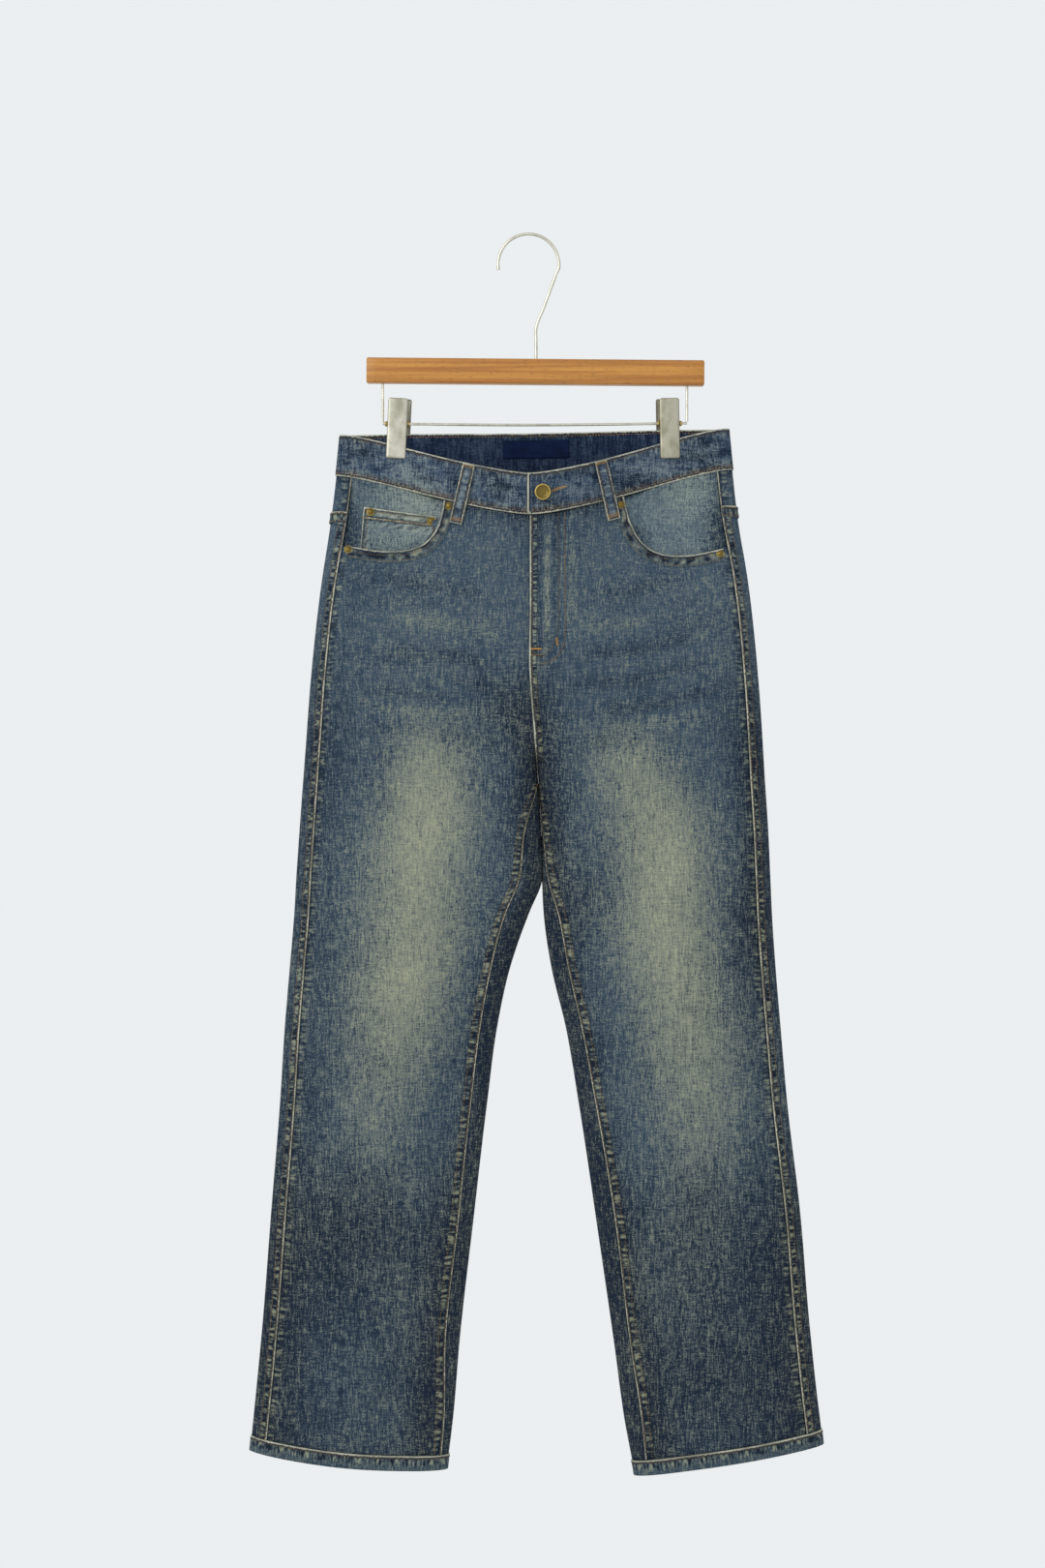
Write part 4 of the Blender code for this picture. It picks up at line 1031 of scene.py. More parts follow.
cloth("waistband_cloth", band_grid, BAND, denim_band, ["waistband"], marks, inside=band_inside)

# %% [markdown]
# Each leg ends in a turned hem, a closed ring with a little more thickness than the leg.

# %% Leg hems
for side in SIDES:
    around = np.linspace(0, 2 * math.pi, 121)[:-1][None, :]
    downs = spaced(HEM_LEVEL - HEM_HEIGHT, HEM_LEVEL, 1.6)[:, None]
    ring = section_point(side, around, downs)
    along = np.cumsum(np.linalg.norm(np.diff(ring[0], axis=0, prepend=ring[0][:1]), axis=-1))
    marks = {"fade": 0.05, "dye_and_shade": 0.15, "edge": downs - (HEM_LEVEL - HEM_HEIGHT), "along": along[None, :]}
    cloth("hem_cloth_" + side, ring, HEM, denim_seam, ["hem_" + side], marks, ring=True)
    print("hem", side, round(along[-1]), "mm round")

# %% [markdown]
# A sewn seam is a small ridge: the cloth is folded under and stitched down, and its edge wears pale. Each
# ridge here is a narrow strip laid on its panel. A "place" turns a distance along the seam and one across it
# into the panel's own angle and row, so the ridge and its stitches come from the same surface.

# %% Seams as places on a panel
RIDGE_ACROSS = np.array([0.0, 0.25, 0.9, 2.2, 4.2, 6.2, 8.2, 9.2, 9.6]) / 9.6
RIDGE_RISE = np.array([0.0, 0.5, 0.9, 0.62, 0.45, 0.52, 0.64, 0.4, 0.0])


def outseam_place(side):
    """From the outseam towards the side fold, by level."""
    return lambda down, offset: (beside(side, -outseam_angle(side, down), down, -offset), down)


def inseam_place(side):
    """From the inner-leg seam on to the front, by level."""
    return lambda down, offset: (beside(side, -math.pi + inseam_angle(side, down), down, -offset), down)


def fly_place(side):
    """From the centre front edge on to the front, by level."""
    return lambda down, offset: (angle_of_inset(side, offset, down) - math.pi, down + 0 * offset)


def seat_place(side):
    """From the centre back seam on to the back, by level."""
    return lambda down, offset: (math.pi - angle_of_inset(side, offset, down), down + 0 * offset)


def row_place(panel, row, first, last):
    """Along one row of a panel between two angles, and its length in millimetres."""
    angles = np.linspace(first, last, 400)
    steps = np.linalg.norm(np.diff(panel.at(angles, row, 0.0), axis=0), axis=-1)
    run = np.concatenate([[0], np.cumsum(steps)])

    def place(along, offset):
        return np.interp(along, run, angles) + 0 * offset, row + offset + 0 * along

    return place, run[-1]


def curve_place(panel, curve, flip, front=True, top=WAIST_SEAM + BAND_GAP + 0.3):
    """Along a drawn curve of x and down, with offsets to one side of it, and its length."""
    curve = np.asarray(curve, float)
    run = np.concatenate([[0], np.cumsum(np.linalg.norm(np.diff(curve, axis=0), axis=1))])
    slope = np.gradient(curve, axis=0)
    normal = flip * np.stack([-slope[:, 1], slope[:, 0]], axis=1) / np.linalg.norm(slope, axis=1)[:, None]

    def place(along, offset):
        x = np.interp(along, run, curve[:, 0]) + offset * np.interp(along, run, normal[:, 0])
        down = np.interp(along, run, curve[:, 1]) + offset * np.interp(along, run, normal[:, 1])
        angle, row = panel.find(x, down, front)
        below = row - top
        return angle, top + 0.5 * (below + np.sqrt(below**2 + 0.8))

    return place, run[-1]


def ridge_height(share, along, seed, rise):
    """Height in millimetres at a share of a ridge's width, rippled along its length."""
    return rise * np.interp(share, RIDGE_ACROSS, RIDGE_RISE) * (1 + 0.3 * crease_lines(along, seed))


def ridge(name, panel, place, alongs, width, rise, seed, under=0.0, front=True, worn=0.0, roped=1.0):
    """A sewn-down fold of cloth, its worn edge at offset 0, on a panel of one half."""
    along = np.asarray(alongs, float)[:, None]
    offset = RIDGE_ACROSS[None, :] * width
    angle, row = place(along, offset)
    out = DENIM / 2 + 0.28 + under + ridge_height(RIDGE_ACROSS[None, :], along, seed, rise)
    points = panel.at(angle, row, out)
    marks = dye_marks(panel.side, points, front)
    marks["edge"] = offset + worn + 0 * along
    marks["along"] = along * roped + 40 * seed + 0 * offset
    cloth(name, points, 0.5, denim_seam, (), marks)
    return points


print("seams are placed from the panels' own angles and rows")

# %% [markdown]
# Stitches are what makes denim read as sewn. Each is a short thread, pointed where it goes into the cloth. A
# whole row is one mesh: the same ten points are set along the seam again and again.

# %% Threads
THREAD_ROWS = {}
THREAD_SHAPE = np.array([
    (-0.5, 0, -0.3), (-0.3, 0.5, 0.1), (-0.3, 0, 0.55), (-0.3, -0.5, 0.1), (-0.3, 0, -0.3),
    (0.3, 0.5, 0.1), (0.3, 0, 0.55), (0.3, -0.5, 0.1), (0.3, 0, -0.3), (0.5, 0, -0.3),
])
THREAD_FACES = np.array([
    (0, 2, 1), (0, 3, 2), (0, 4, 3), (0, 1, 4), (1, 2, 6), (1, 6, 5), (2, 3, 7), (2, 7, 6),
    (3, 4, 8), (3, 8, 7), (4, 1, 5), (4, 5, 8), (9, 5, 6), (9, 6, 7), (9, 7, 8), (9, 8, 5),
])


def sew(group, points, normals, tone=0.2, pitch=3.1, length=2.4, width=0.9):
    """Adds stitches along a line of points: tone 0 is dark brown thread, 1 is ochre."""
    run = np.concatenate([[0], np.cumsum(np.linalg.norm(np.diff(points, axis=0), axis=1))])
    at = np.arange(pitch / 2, run[-1] - pitch / 4, pitch)
    if not len(at):
        return
    middle = np.stack([np.interp(at, run, points[:, k]) for k in range(3)], axis=1)
    ahead = np.stack([np.interp(at + 0.5, run, points[:, k]) for k in range(3)], axis=1)
    behind = np.stack([np.interp(at - 0.5, run, points[:, k]) for k in range(3)], axis=1)
    up = np.stack([np.interp(at, run, normals[:, k]) for k in range(3)], axis=1)
    forward = ahead - behind
    forward = forward / np.linalg.norm(forward, axis=1, keepdims=True)
    sideways = np.cross(up, forward)
    sideways = sideways / np.linalg.norm(sideways, axis=1, keepdims=True)
    up = np.cross(forward, sideways)
    slack = 1 + 0.08 * np.sin(1.7 * at)[:, None, None]
    made = middle[:, None, :] + THREAD_SHAPE[None, :, :1] * length * slack * forward[:, None, :]
    made = made + THREAD_SHAPE[None, :, 1:2] * width * sideways[:, None, :]
    made = made + THREAD_SHAPE[None, :, 2:] * width * up[:, None, :]
    THREAD_ROWS.setdefault(group, []).append((made.reshape(-1, 3), tone))


def sew_seam(group, panel, place, alongs, offset, out, **looks):
    """A row of stitches on a panel at one distance across a seam."""
    alongs = np.asarray(alongs, float)
    angle, row = place(alongs, np.full(alongs.shape, float(offset)))
    points = panel.at(angle, row, out)
    sew(group, points, panel.at(angle, row, np.asarray(out) + 1.0) - points, **looks)


def sew_ridge(group, panel, place, alongs, width, rise, seed, offset, under=0.0, **looks):
    """A row of stitches on a ridge, at the ridge's own height."""
    alongs = np.asarray(alongs, float)
    height = ridge_height(offset / width, alongs, seed, rise)
    sew_seam(group, panel, place, alongs, offset, DENIM / 2 + 0.55 + under + height, **looks)


def finish_threads(group):
    """One mesh of a group's rows of stitches."""
    rows = THREAD_ROWS[group]
    points = np.concatenate([row for row, _ in rows])
    tones = np.concatenate([np.full(len(row), tone) for row, tone in rows])
    count = len(points) // len(THREAD_SHAPE)
    faces = THREAD_FACES[None, :, :] + len(THREAD_SHAPE) * np.arange(count)[:, None, None]
    mesh = bpy.data.meshes.new(group)
    mesh.from_pydata((points * MM).tolist(), [], faces.reshape(-1, 3).tolist())
    mesh.attributes.new("tone", "FLOAT", "POINT").data.foreach_set("value", tones.astype(np.float32))
    mesh.materials.append(thread)
    mesh.shade_smooth()
    piece = bpy.data.objects.new(group, mesh)
    bpy.context.scene.collection.objects.link(piece)
    finish_piece(piece)
    return count


def thread_material():
    """Cotton thread, dark brown where worn and ochre where it is fresh."""
    material, tree, shader = start_material("sewing_thread", 0.75)
    patch = grain(tree, (7.0, 7.0, 7.0), detail=1.0)
    uneven = calc(tree, "MULTIPLY", calc(tree, "SUBTRACT", patch, 0.5), 1.1)
    fresh = calc(tree, "ADD", mark(tree, "tone"), uneven)
    colour = mixed(tree, eased(tree, fresh, 0.0, 1.0), linear(84, 68, 46), linear(196, 150, 84))
    twist = grain(tree, (0.8, 0.8, 0.8), detail=0.0)
    colour = mixed(tree, calc(tree, "MULTIPLY", twist, 0.4), colour, linear(56, 48, 38))
    tree.links.new(colour, shader.inputs["Base Color"])
    add_bump(tree, shader, twist, 0.1)
    return material


thread = thread_material()
print("thread:", len(THREAD_FACES), "triangles a stitch")

# %% [markdown]
# The outseam and the inner-leg seam run the length of each leg. The outseam's ridge lies on the back panel
# and turns up over the yoke; the inner one lies on the front.

# %% Leg seams
FOOT_ROW = HEM_LEVEL - HEM_HEIGHT - SEAM_GAP - 0.5
for number, side in enumerate(SIDES):
    place = outseam_place(side)
    rows = spaced(YOKE_SIDE + SEAM_GAP + 0.2, FOOT_ROW, 2.0)
    ridge("outseam_" + side, backs[side], place, rows, 9.6, 0.8, 1.0 + number, worn=0.35)
    for offset in (1.9, 7.9):
        sew_ridge("threads_outseam_" + side, backs[side], place, rows, 9.6, 0.8, 1.0 + number, offset)
    finish_threads("threads_outseam_" + side)
    place = inseam_place(side)
    rows = spaced(566, FOOT_ROW, 2.0)
    ridge("inseam_" + side, fronts[side], place, rows, 8.4, 0.7, 3.0 + number, worn=0.35)
    for offset in (1.8, 6.8):
        sew_ridge("threads_inseam_" + side, fronts[side], place, rows, 8.4, 0.7, 3.0 + number, offset)
    print("leg seams", side, finish_threads("threads_inseam_" + side), "stitches on the inner one")

# %% [markdown]
# On the back, the yoke seam, the upper outseam and the seat seam are felled the same way. The yoke seam ends
# a little past the side fold, where the front shows it.

# %% Back seams
YOKE_LENGTH = {}
for number, side in enumerate(SIDES):
    start = -outseam_angle(side, YOKE_SIDE)
    yoke_line, length = row_place(backs[side], YOKE_SIDE + SEAM_GAP, start, math.pi)
    YOKE_LENGTH[side] = length
    alongs = spaced(0.3, length - 0.3, 2.0)
    seam = (12.0, 0.8, 5.0 + number)
    ridge("yoke_seam_" + side, backs[side], yoke_line, alongs, *seam, under=0.5, front=False)
    group = "threads_yoke_" + side
    for offset in (2.2, 9.8):
        sew_ridge(group, backs[side], yoke_line, alongs, *seam, offset, under=0.5, tone=0.35)
    print("yoke seam", side, round(length), "mm,", finish_threads(group), "stitches")
place = seat_place("left")
rows = spaced(YOKE_SIDE + 13.5, 516, 2.0)
ridge("seat_seam", backs["left"], place, rows, 10.0, 0.8, 7.0, front=False)
for offset in (1.9, 8.0):
    sew_ridge("threads_seat", backs["left"], place, rows, 10.0, 0.8, 7.0, offset, tone=0.35)
finish_threads("threads_seat")
print("seat seam:", round(rows[-1] - rows[0]), "mm")

# %% [markdown]
# The mouth of each hip pocket is turned under and sewn with two rows. Its edge is worn cream.

# %% Pocket mouths
for number, side in enumerate(SIDES):
    place, length = curve_place(fronts[side], mouth_curve(side), SIGN[side])
    row = fronts[side].find(*mouth_curve(side, 400).T)[1]
    start = length * float(np.argmax(row > WAIST_SEAM + BAND_GAP + 0.4)) / 400
    alongs = spaced(start, length - 14.5, 1.8)
    ridge("mouth_edge_" + side, fronts[side], place, alongs, 12.0, 0.55, 9.0 + number, roped=0.35)
    group = "threads_mouth_" + side
    for offset in (4.6, 9.8):
        sew_ridge(group, fronts[side], place, alongs, 12.0, 0.55, 9.0 + number, offset)
    print("mouth", side, round(length - start), "mm,", finish_threads(group), "stitches")

# %% [markdown]
# The fly is a folded edge on the wearer's left front, held by a J-shaped double row and two bartacks. Below
# it the crotch seam goes on to the inner legs.

# %% Fly
FLY_ROWS = (WAIST_SEAM + BAND_GAP + 0.4, 543.0)
J_OUTER = ((30.1, 284), (30.6, 380), (30.8, 410), (28.6, 425), (22.4, 436), (13.5, 441.5), (4.5, 444.5))
J_INNER = ((23.7, 286), (24.0, 380), (22.6, 413), (20.4, 421), (15.8, 429), (8.6, 435), (3.0, 438))


def smooth_line(points, steps=80):
    """A smooth curve through given points, evenly sampled."""
    points = np.asarray(points, float)
    run = np.concatenate([[0], np.cumsum(np.linalg.norm(np.diff(points, axis=0), axis=1))])
    at = np.linspace(0, run[-1], steps)
    table = np.column_stack([run, points])
    names = "run " + " ".join("abc"[:points.shape[1]])
    return np.stack([read(table, names, name, at) for name in names.split()[1:]], axis=1)


front = fronts["left"]
place = fly_place("left")
rows = spaced(*FLY_ROWS, 1.6)
ridge("fly_edge", front, place, rows, 7.0, 0.55, 11.0)
sew_ridge("threads_fly", front, place, rows, 7.0, 0.55, 11.0, 3.0, tone=0.05)
sew_ridge("threads_fly", front, place, spaced(452, FLY_ROWS[1], 1.6), 7.0, 0.55, 11.0, 6.0, tone=0.05)
for line, tone in ((J_INNER, 0.0), (J_OUTER, 0.35)):
    place, length = curve_place(front, smooth_line(line), 1.0)
    stops = spaced(0, length, 1.0)
    sew_seam("threads_fly", front, place, stops, 0.0, DENIM / 2 + 0.05, tone=tone, width=1.15)


def bartack(group, panel, start, end, lift, tone=0.75, width=2.2, front=True):
    """A short dense bar of satin stitches between two points of x and down."""
    start, end = np.array(start, float), np.array(end, float)
    steps = max(4, round(np.linalg.norm(end - start) / 0.65))
    run = end - start
    across = np.array([-run[1], run[0]]) / np.linalg.norm(run) * width / 2
    for share in np.linspace(0, 1, steps):
        ends = np.array([start + run * share - across, start + run * share + across])
        angle, row = panel.find(ends[:, 0], ends[:, 1], front)
        points = panel.at(angle, row, lift)
        normals = panel.at(angle, row, lift + 1.0) - points
        sew(group, points, normals, tone=tone, pitch=width * 0.99, length=width, width=0.75)


bartack("threads_fly", front, (-4.2, 428.5), (6.0, 428.5), DENIM / 2 + 0.9)
bartack("threads_fly", front, (22.0, 417.0), (22.6, 425.0), DENIM / 2 + 0.1)
bartack("threads_fly", front, (-4.0, 434.5), (7.5, 434.8), DENIM / 2 + 0.8, tone=0.5, width=1.2)
print("fly:", finish_threads("threads_fly"), "stitches")

# %% [markdown]
# The waistband has one row of stitches along its top and two along its foot, ochre where they are fresh, and
# a pointed buttonhole beside the button. The row inside the back shows over the label.

# %% Waistband stitches
def sew_band(level_down, out, tone, where=None, group="threads_waistband"):
    """A row round the waistband at one level, on its outside when out is above 0."""
    ripple = np.interp(level_down, band_levels, np.arange(len(band_levels)))
    lift = band_ripple[int(round(float(ripple)))]
    points = band_points([level_down], lift + out)[0]
    normals = (band_points([level_down], lift + out + math.copysign(1, out))[0] - points)
    chosen = slice(None) if where is None else where
    sew(group, points[chosen], normals[chosen], tone=tone)


outside = BAND / 2 + 0.06
for level_down, tone in ((WAIST_TOP + 3.4, 0.15), (WAIST_SEAM - 3.0, 0.55), (WAIST_SEAM - 5.6, 0.25)):
    sew_band(level_down, outside, tone, slice(1, -6))
band_x, band_front, _ = band_path()
inside_back = np.flatnonzero(~band_front & (np.abs(band_x) < 192))
sew_band(WAIST_TOP + 3.4, -outside, 0.5, inside_back)


def band_spot(x, down, out):
    """A point on the front waistband's upper layer, out from its middle, and its outward direction."""
    index = np.flatnonzero(band_front & (np.arange(len(band_x)) < len(band_x) // 2))
    at = np.interp(x, band_x[index], index)
    low = int(at)
    share = at - low
    pair = band_points([down], out)[0]
    beyond = band_points([down], out + 1.0)[0]
    point = pair[low] * (1 - share) + pair[low + 1] * share
    return point, (beyond[low] * (1 - share) + beyond[low + 1] * share) - point


BUTTONHOLE = ((16.8, 22.0), (25.5, 20.2), (31.6, 19.2), (25.2, 18.9), (16.8, 20.2))
hole_line = smooth_line([(x, WAIST_TOP + down) for x, down in BUTTONHOLE], 60)
spots = [band_spot(x, down, outside + 0.05) for x, down in hole_line]
sew("threads_waistband", np.array([spot[0] for spot in spots]), np.array([spot[1] for spot in spots]),
    tone=0.95, pitch=0.8, length=1.5, width=0.75)
print("waistband:", finish_threads("threads_waistband"), "stitches")

# %% [markdown]
# The pieces that lie on the panels come next: the coin pocket under the right mouth, two plain back pockets
# with a pointed foot, five belt loops and the bare woven label. Each repeats its solid's corners.

# %% Pockets
def coin_depth(x, down):
    return facing_depth(x, down) + INNER_LAYER


def quad_patch(panel, corners, out, columns, rows, front=True, point=0.0):
    """Points of a four-cornered piece on a panel, and its distance from each of its four edges."""
    u = np.linspace(0, 1, columns + 1)[None, :]
    v = np.linspace(0, 1, rows + 1)[:, None]
    a, b, c, d = (np.array(corner, float) for corner in corners)
    shares = ((1 - u) * (1 - v), u * (1 - v), u * v, (1 - u) * v)
    x, down = (sum(share * corner[k] for share, corner in zip(shares, (a, b, c, d))) for k in (0, 1))
    down = down + point * v**2 * (1 - np.abs(2 * u - 1))
    angle, row = panel.find(x, down, front)
    lift = out(x, down) if callable(out) else out
    wide, tall = np.linalg.norm(b - a), np.linalg.norm(d - a)
    edges = {"first": u * wide + 0 * v, "last": (1 - u) * wide + 0 * v, "top": v * tall + 0 * u,
             "foot": (1 - v) * tall + 0 * u}
    return panel.at(angle, row, lift), edges, (x, down)


def sew_grid(group, points, row=None, column=None, lift=0.0, towards_back=False, **looks):
    """Stitches along one row or column of a piece's grid, lifted off its middle."""
    across = np.gradient(points, axis=1)
    along = np.gradient(points, axis=0)
    normals = np.cross(across, along)
    normals = normals / np.linalg.norm(normals, axis=-1, keepdims=True)
    facing = np.sign(normals[..., 1:2]) * (1 if towards_back else -1)
    normals = normals * facing
    line = points[row] if row is not None else points[:, column]
    up = normals[row] if row is not None else normals[:, column]
    sew(group, line + up * lift, up, **looks)


COIN = ((-176.5, 280.5), (-102.0, 290.8), (-103.5, 337.0), (-180.5, 337.0))
coin, edges, _ = quad_patch(fronts["right"], COIN, coin_depth, 50, 30)
pucker = 0.07 * crease_lines(edges["first"] + 200, 3.0) * np.exp(-edges["top"] / 9)
coin[..., 1] -= pucker
turned_band = np.abs(edges["top"] - 11.0)
pale = np.exp(-(((edges["last"] - 18) / 20) ** 2) - ((edges["top"] - 14) / 12) ** 2)
marks = {"fade": 0.30 + 0.6 * pale + 0.5 * (edges["top"] < 11), "dye_and_shade": 0.35 * ramp(edges["top"], 22, 40),
         "along": 0.4 * (edges["first"] + edges["top"]),
         "edge": np.minimum(np.minimum(edges["top"], edges["last"] + 0.4), turned_band + 0.6)}
marks["edge"] = np.minimum(marks["edge"], edges["first"] + 0.5)
cloth("coin_pocket_cloth", coin, DENIM, denim_pocket, ["coin_pocket"], marks)
for row in (2, 6):
    sew_grid("threads_coin", coin, row=row, lift=DENIM / 2 + 0.05, tone=0.55)
for column in (-3, 3):
    sew_grid("threads_coin", coin, column=column, lift=DENIM / 2 + 0.05, tone=0.3)
print("coin pocket:", finish_threads("threads_coin"), "stitches")

for side in SIDES:
    s = SIGN[side]
    corners = ((s * 182, 352), (s * 34, 362), (s * 44, 494), (s * 172, 486))
    points, edges, _ = quad_patch(backs[side], corners, LAYER + 0.4, 74, 66, front=False, point=24)
    rim = np.minimum(np.minimum(edges["first"], edges["last"]), np.minimum(edges["top"], edges["foot"]))
    ripple = -crease_lines(edges["first"] + edges["top"] * 0.9, 4.0) * 0.16 * np.exp(-rim / 4)
    points[..., 1] += ripple
    marks = {"fade": 0.28 - 0.2 * np.exp(-rim / 12), "dye_and_shade": 0.1, "along": edges["first"] + edges["top"],
             "edge": np.where(rim < 9, rim, 99.0)}
    name = "back_pocket_cloth_" + side
    cloth(name, points, DENIM, denim_cloth, ["back_pocket_" + side], marks)
    group = "threads_back_pocket_" + side
    looks = {"lift": DENIM / 2 + 0.06, "towards_back": True, "tone": 0.45}
    for inset in (1, 4):
        sew_grid(group, points[inset:-inset], column=inset, **looks)
        sew_grid(group, points[inset:-inset], column=-1 - inset, **looks)
        sew_grid(group, points[:, inset:-inset], row=-1 - inset, **looks)
    for row in (4, 8):
        sew_grid(group, points[:, 1:-1], row=row, **looks)
    print(name, finish_threads(group), "stitches")

# %% [markdown]
# A belt loop is a folded strip that stands off the band between its two bartacks. Its long edges are worn.

# %% Belt loops
def panel_depth(x, down, front):
    """How far the cloth below the waistband lies from the plane of the clips."""
    side = "left" if x > level("in_left", down) else "right"
    outer = SIGN[side] * level("out_" + side, down)
    p = np.clip((x - outer) / (inner_x(side, down) - outer), 0, 1)
    angle = np.arccos(1 - 2 * p)
    return abs(float(section_point(side, -angle if front else angle, down)[1]))


def band_surface(x, down, front, out):
    """A point out from the waistband's middle, at x and a level between its top and its seam."""
    spread = (down - WAIST_TOP) * 0.1 * abs(x) / HALF_WAIST
    y = float(waist_depth(np.array(x), front))
    drop = down + float(sag(np.array(x), front))
    return np.array((x + math.copysign(spread, x), -(y + out) if front else y + out, -drop))


LOOPS = (
    ("belt_loop_front_right", -73.5, -11.5, True),
    ("belt_loop_front_left", 73.0, 11.5, True),
    ("belt_loop_back_right", -170.0, -3.0, False),
    ("belt_loop_back_left", 172.0, 3.0, False),
    ("belt_loop_centre_back", -3.0, 0.0, False),
)
LOOP_WIDTH, LOOP_THICKNESS = 12.0, 1.8


def loop_points(x, lean, front, steps=44, columns=12):
    """The middle of one loop, as its solid runs, with its two edges folded down a little."""
    top, foot = WAIST_TOP + 1.2, WAIST_SEAM + 22
    clearance = SEAM_GAP + 0.25 + LOOP_THICKNESS / 2
    rows = []
    for share in np.linspace(0, 1, steps + 1):
        down = top + (foot - top) * share
        stand = 2.2 * float(ramp(share, 0.05, 0.3) - ramp(share, 0.65, 0.88))
        row = []
        for offset in np.linspace(-LOOP_WIDTH / 2, LOOP_WIDTH / 2, columns + 1):
            at = x + lean * (share - 0.5) + offset
            seat = BAND / 2
            if down > WAIST_SEAM:
                rise = panel_depth(at, down, front) - float(waist_depth(np.array(at), front))
                seat = max(seat, rise + DENIM / 2 + 0.2)
            crown = 0.35 * (1 - (2 * offset / LOOP_WIDTH) ** 4)
            row.append(band_surface(at, down, front, seat + clearance + stand + crown))
        rows.append(row)
    return np.array(rows)


for name, x, lean, front_face in LOOPS:
    points = loop_points(x, lean, front_face)
    count, columns = points.shape[:2]
    across = np.linspace(0, LOOP_WIDTH, columns)[None, :]
    along = np.linspace(0, 63, count)[:, None]
    rim = np.minimum(np.minimum(across, LOOP_WIDTH - across), np.minimum(along, 63 - along)) + 0.35
    marks = {"fade": 0.30, "dye_and_shade": 0.0, "edge": rim, "along": along + 0 * across + 10 * x}
    cloth(name + "_cloth", points, LOOP_THICKNESS, denim_band, [name], marks)
    group = "threads_" + name
    looks = {"lift": LOOP_THICKNESS / 2 + 0.04, "towards_back": not front_face}
    for column in (2, -3):
        sew_grid(group, points[2:-2], column=column, tone=0.1, **looks)
    for middle in (1, 2, count - 5, count - 4, count - 3):
        sew_grid(group, points[:, 1:-1], row=middle, tone=0.8, pitch=0.8, length=2.6, width=0.6, **looks)
    finish_threads(group)
print("belt loops:", len(LOOPS))

# %% [markdown]
# The label is plain navy weave, sewn inside the back of the waistband.

# %% Label
label_rows = np.linspace(WAIST_TOP + 7.5, WAIST_TOP + 26, 15)
label_columns = np.linspace(-33, 35, 45)
inside = -(BAND / 2 + SEAM_GAP + 0.55)
label = np.array([[band_surface(x, down, False, inside) for x in label_columns] for down in label_rows])
label[..., 1] -= 0.25 * np.sin(label[..., 0] / 6.0) * np.sin(label[..., 0] / 2.3)


def label_material():
    """A tight navy satin weave with a pale thread here and there."""
    material, tree, shader = start_material("navy_weave", 0.62)
    weave = grain(tree, (0.7, 0.7, 0.7), detail=0.0)
    tone = grain(tree, (14.0, 14.0, 5.0))
    colour = mixed(tree, eased(tree, tone, 0.3, 0.7), linear(6, 16, 42), linear(12, 25, 56))
    colour = mixed(tree, calc(tree, "MULTIPLY", weave, 0.2), colour, linear(26, 40, 72))
    tree.links.new(colour, shader.inputs["Base Color"])
    add_bump(tree, shader, weave, 0.12)
    shader.inputs["Specular IOR Level"].default_value = 0.05
    return material


cloth("label_cloth", label, 0.8, label_material(), ["woven_label"])
print("label:", round(float(np.ptp(label[..., 0]))), "mm wide")

# %% [markdown]
# The hems are chain-stitched once, just under their worn upper edge.

# %% Hem stitches
for side in SIDES:
    around = np.linspace(0, 2 * math.pi, 500)
    ring = section_point(side, around, HEM_LEVEL - HEM_HEIGHT + 2.6)
    middle = ring.mean(axis=0)
    slope = np.gradient(ring, axis=0)
    outward = np.stack([slope[:, 1], -slope[:, 0], 0 * slope[:, 0]], axis=1)
    outward = outward / np.linalg.norm(outward, axis=1, keepdims=True)
    outward = outward * np.sign(np.sum(outward * (ring - middle), axis=1).mean())
    group = "threads_hem_" + side
    sew(group, ring + outward * (HEM / 2 + 0.05), outward, tone=0.15)
    print("hem", side, finish_threads(group), "stitches")

# %% [markdown]
# Buttons and rivets are turned pieces: a profile is spun round its axis. The waist button has a plain raised
# rim and a dished middle; each rivet is a small dome with a ring pressed into it.

# %% Brass
def turned(name, profile, steps, material, nodes, place, axis):
    """A turned piece about an axis, from a profile of (radius, height) in millimetres."""
    quarter = Vector(axis).to_track_quat("Z", "Y")
    points, faces = [], []
    count = len(profile)
    for i in range(steps):
        turn = 2 * math.pi * i / steps
        for radius, height in profile:
            spun = quarter @ Vector((radius * math.cos(turn), radius * math.sin(turn), height))
            points.append((Vector(place) + spun) * MM)
        ahead = (i + 1) % steps * count
        faces += [(i * count + k, i * count + k + 1, ahead + k + 1, ahead + k) for k in range(count - 1)]
    mesh = bpy.data.meshes.new(name)
    mesh.from_pydata(points, [], faces)
    radii = np.tile([radius for radius, _ in profile], steps) / max(radius for radius, _ in profile)
    mesh.attributes.new("rim", "FLOAT", "POINT").data.foreach_set("value", radii.astype(np.float32))
    mesh.materials.append(material)
    mesh.shade_smooth()
    piece = bpy.data.objects.new(name, mesh)
    bpy.context.scene.collection.objects.link(piece)
    weld = piece.modifiers.new("Weld", "WELD")
    weld.merge_threshold = 0.00001
    finish_piece(piece, nodes)
    return piece


def brass_material():
    """Old brass: dark olive in its hollows, rubbed bright on its rims."""
    material, tree, shader = start_material("antique_brass_finish", 0.42, 0.9)
    age = grain(tree, (1.6, 1.6, 1.6), detail=3.0)
    rubbed = calc(tree, "ADD", eased(tree, mark(tree, "rim"), 0.76, 0.86), calc(tree, "MULTIPLY", age, 0.35))
    colour = mixed(tree, rubbed, linear(94, 79, 34), linear(176, 153, 88))
    tree.links.new(colour, shader.inputs["Base Color"])
    tree.links.new(eased(tree, age, 0.3, 0.8, 0.32, 0.6), shader.inputs["Roughness"])
    add_bump(tree, shader, age, 0.06)
    return material


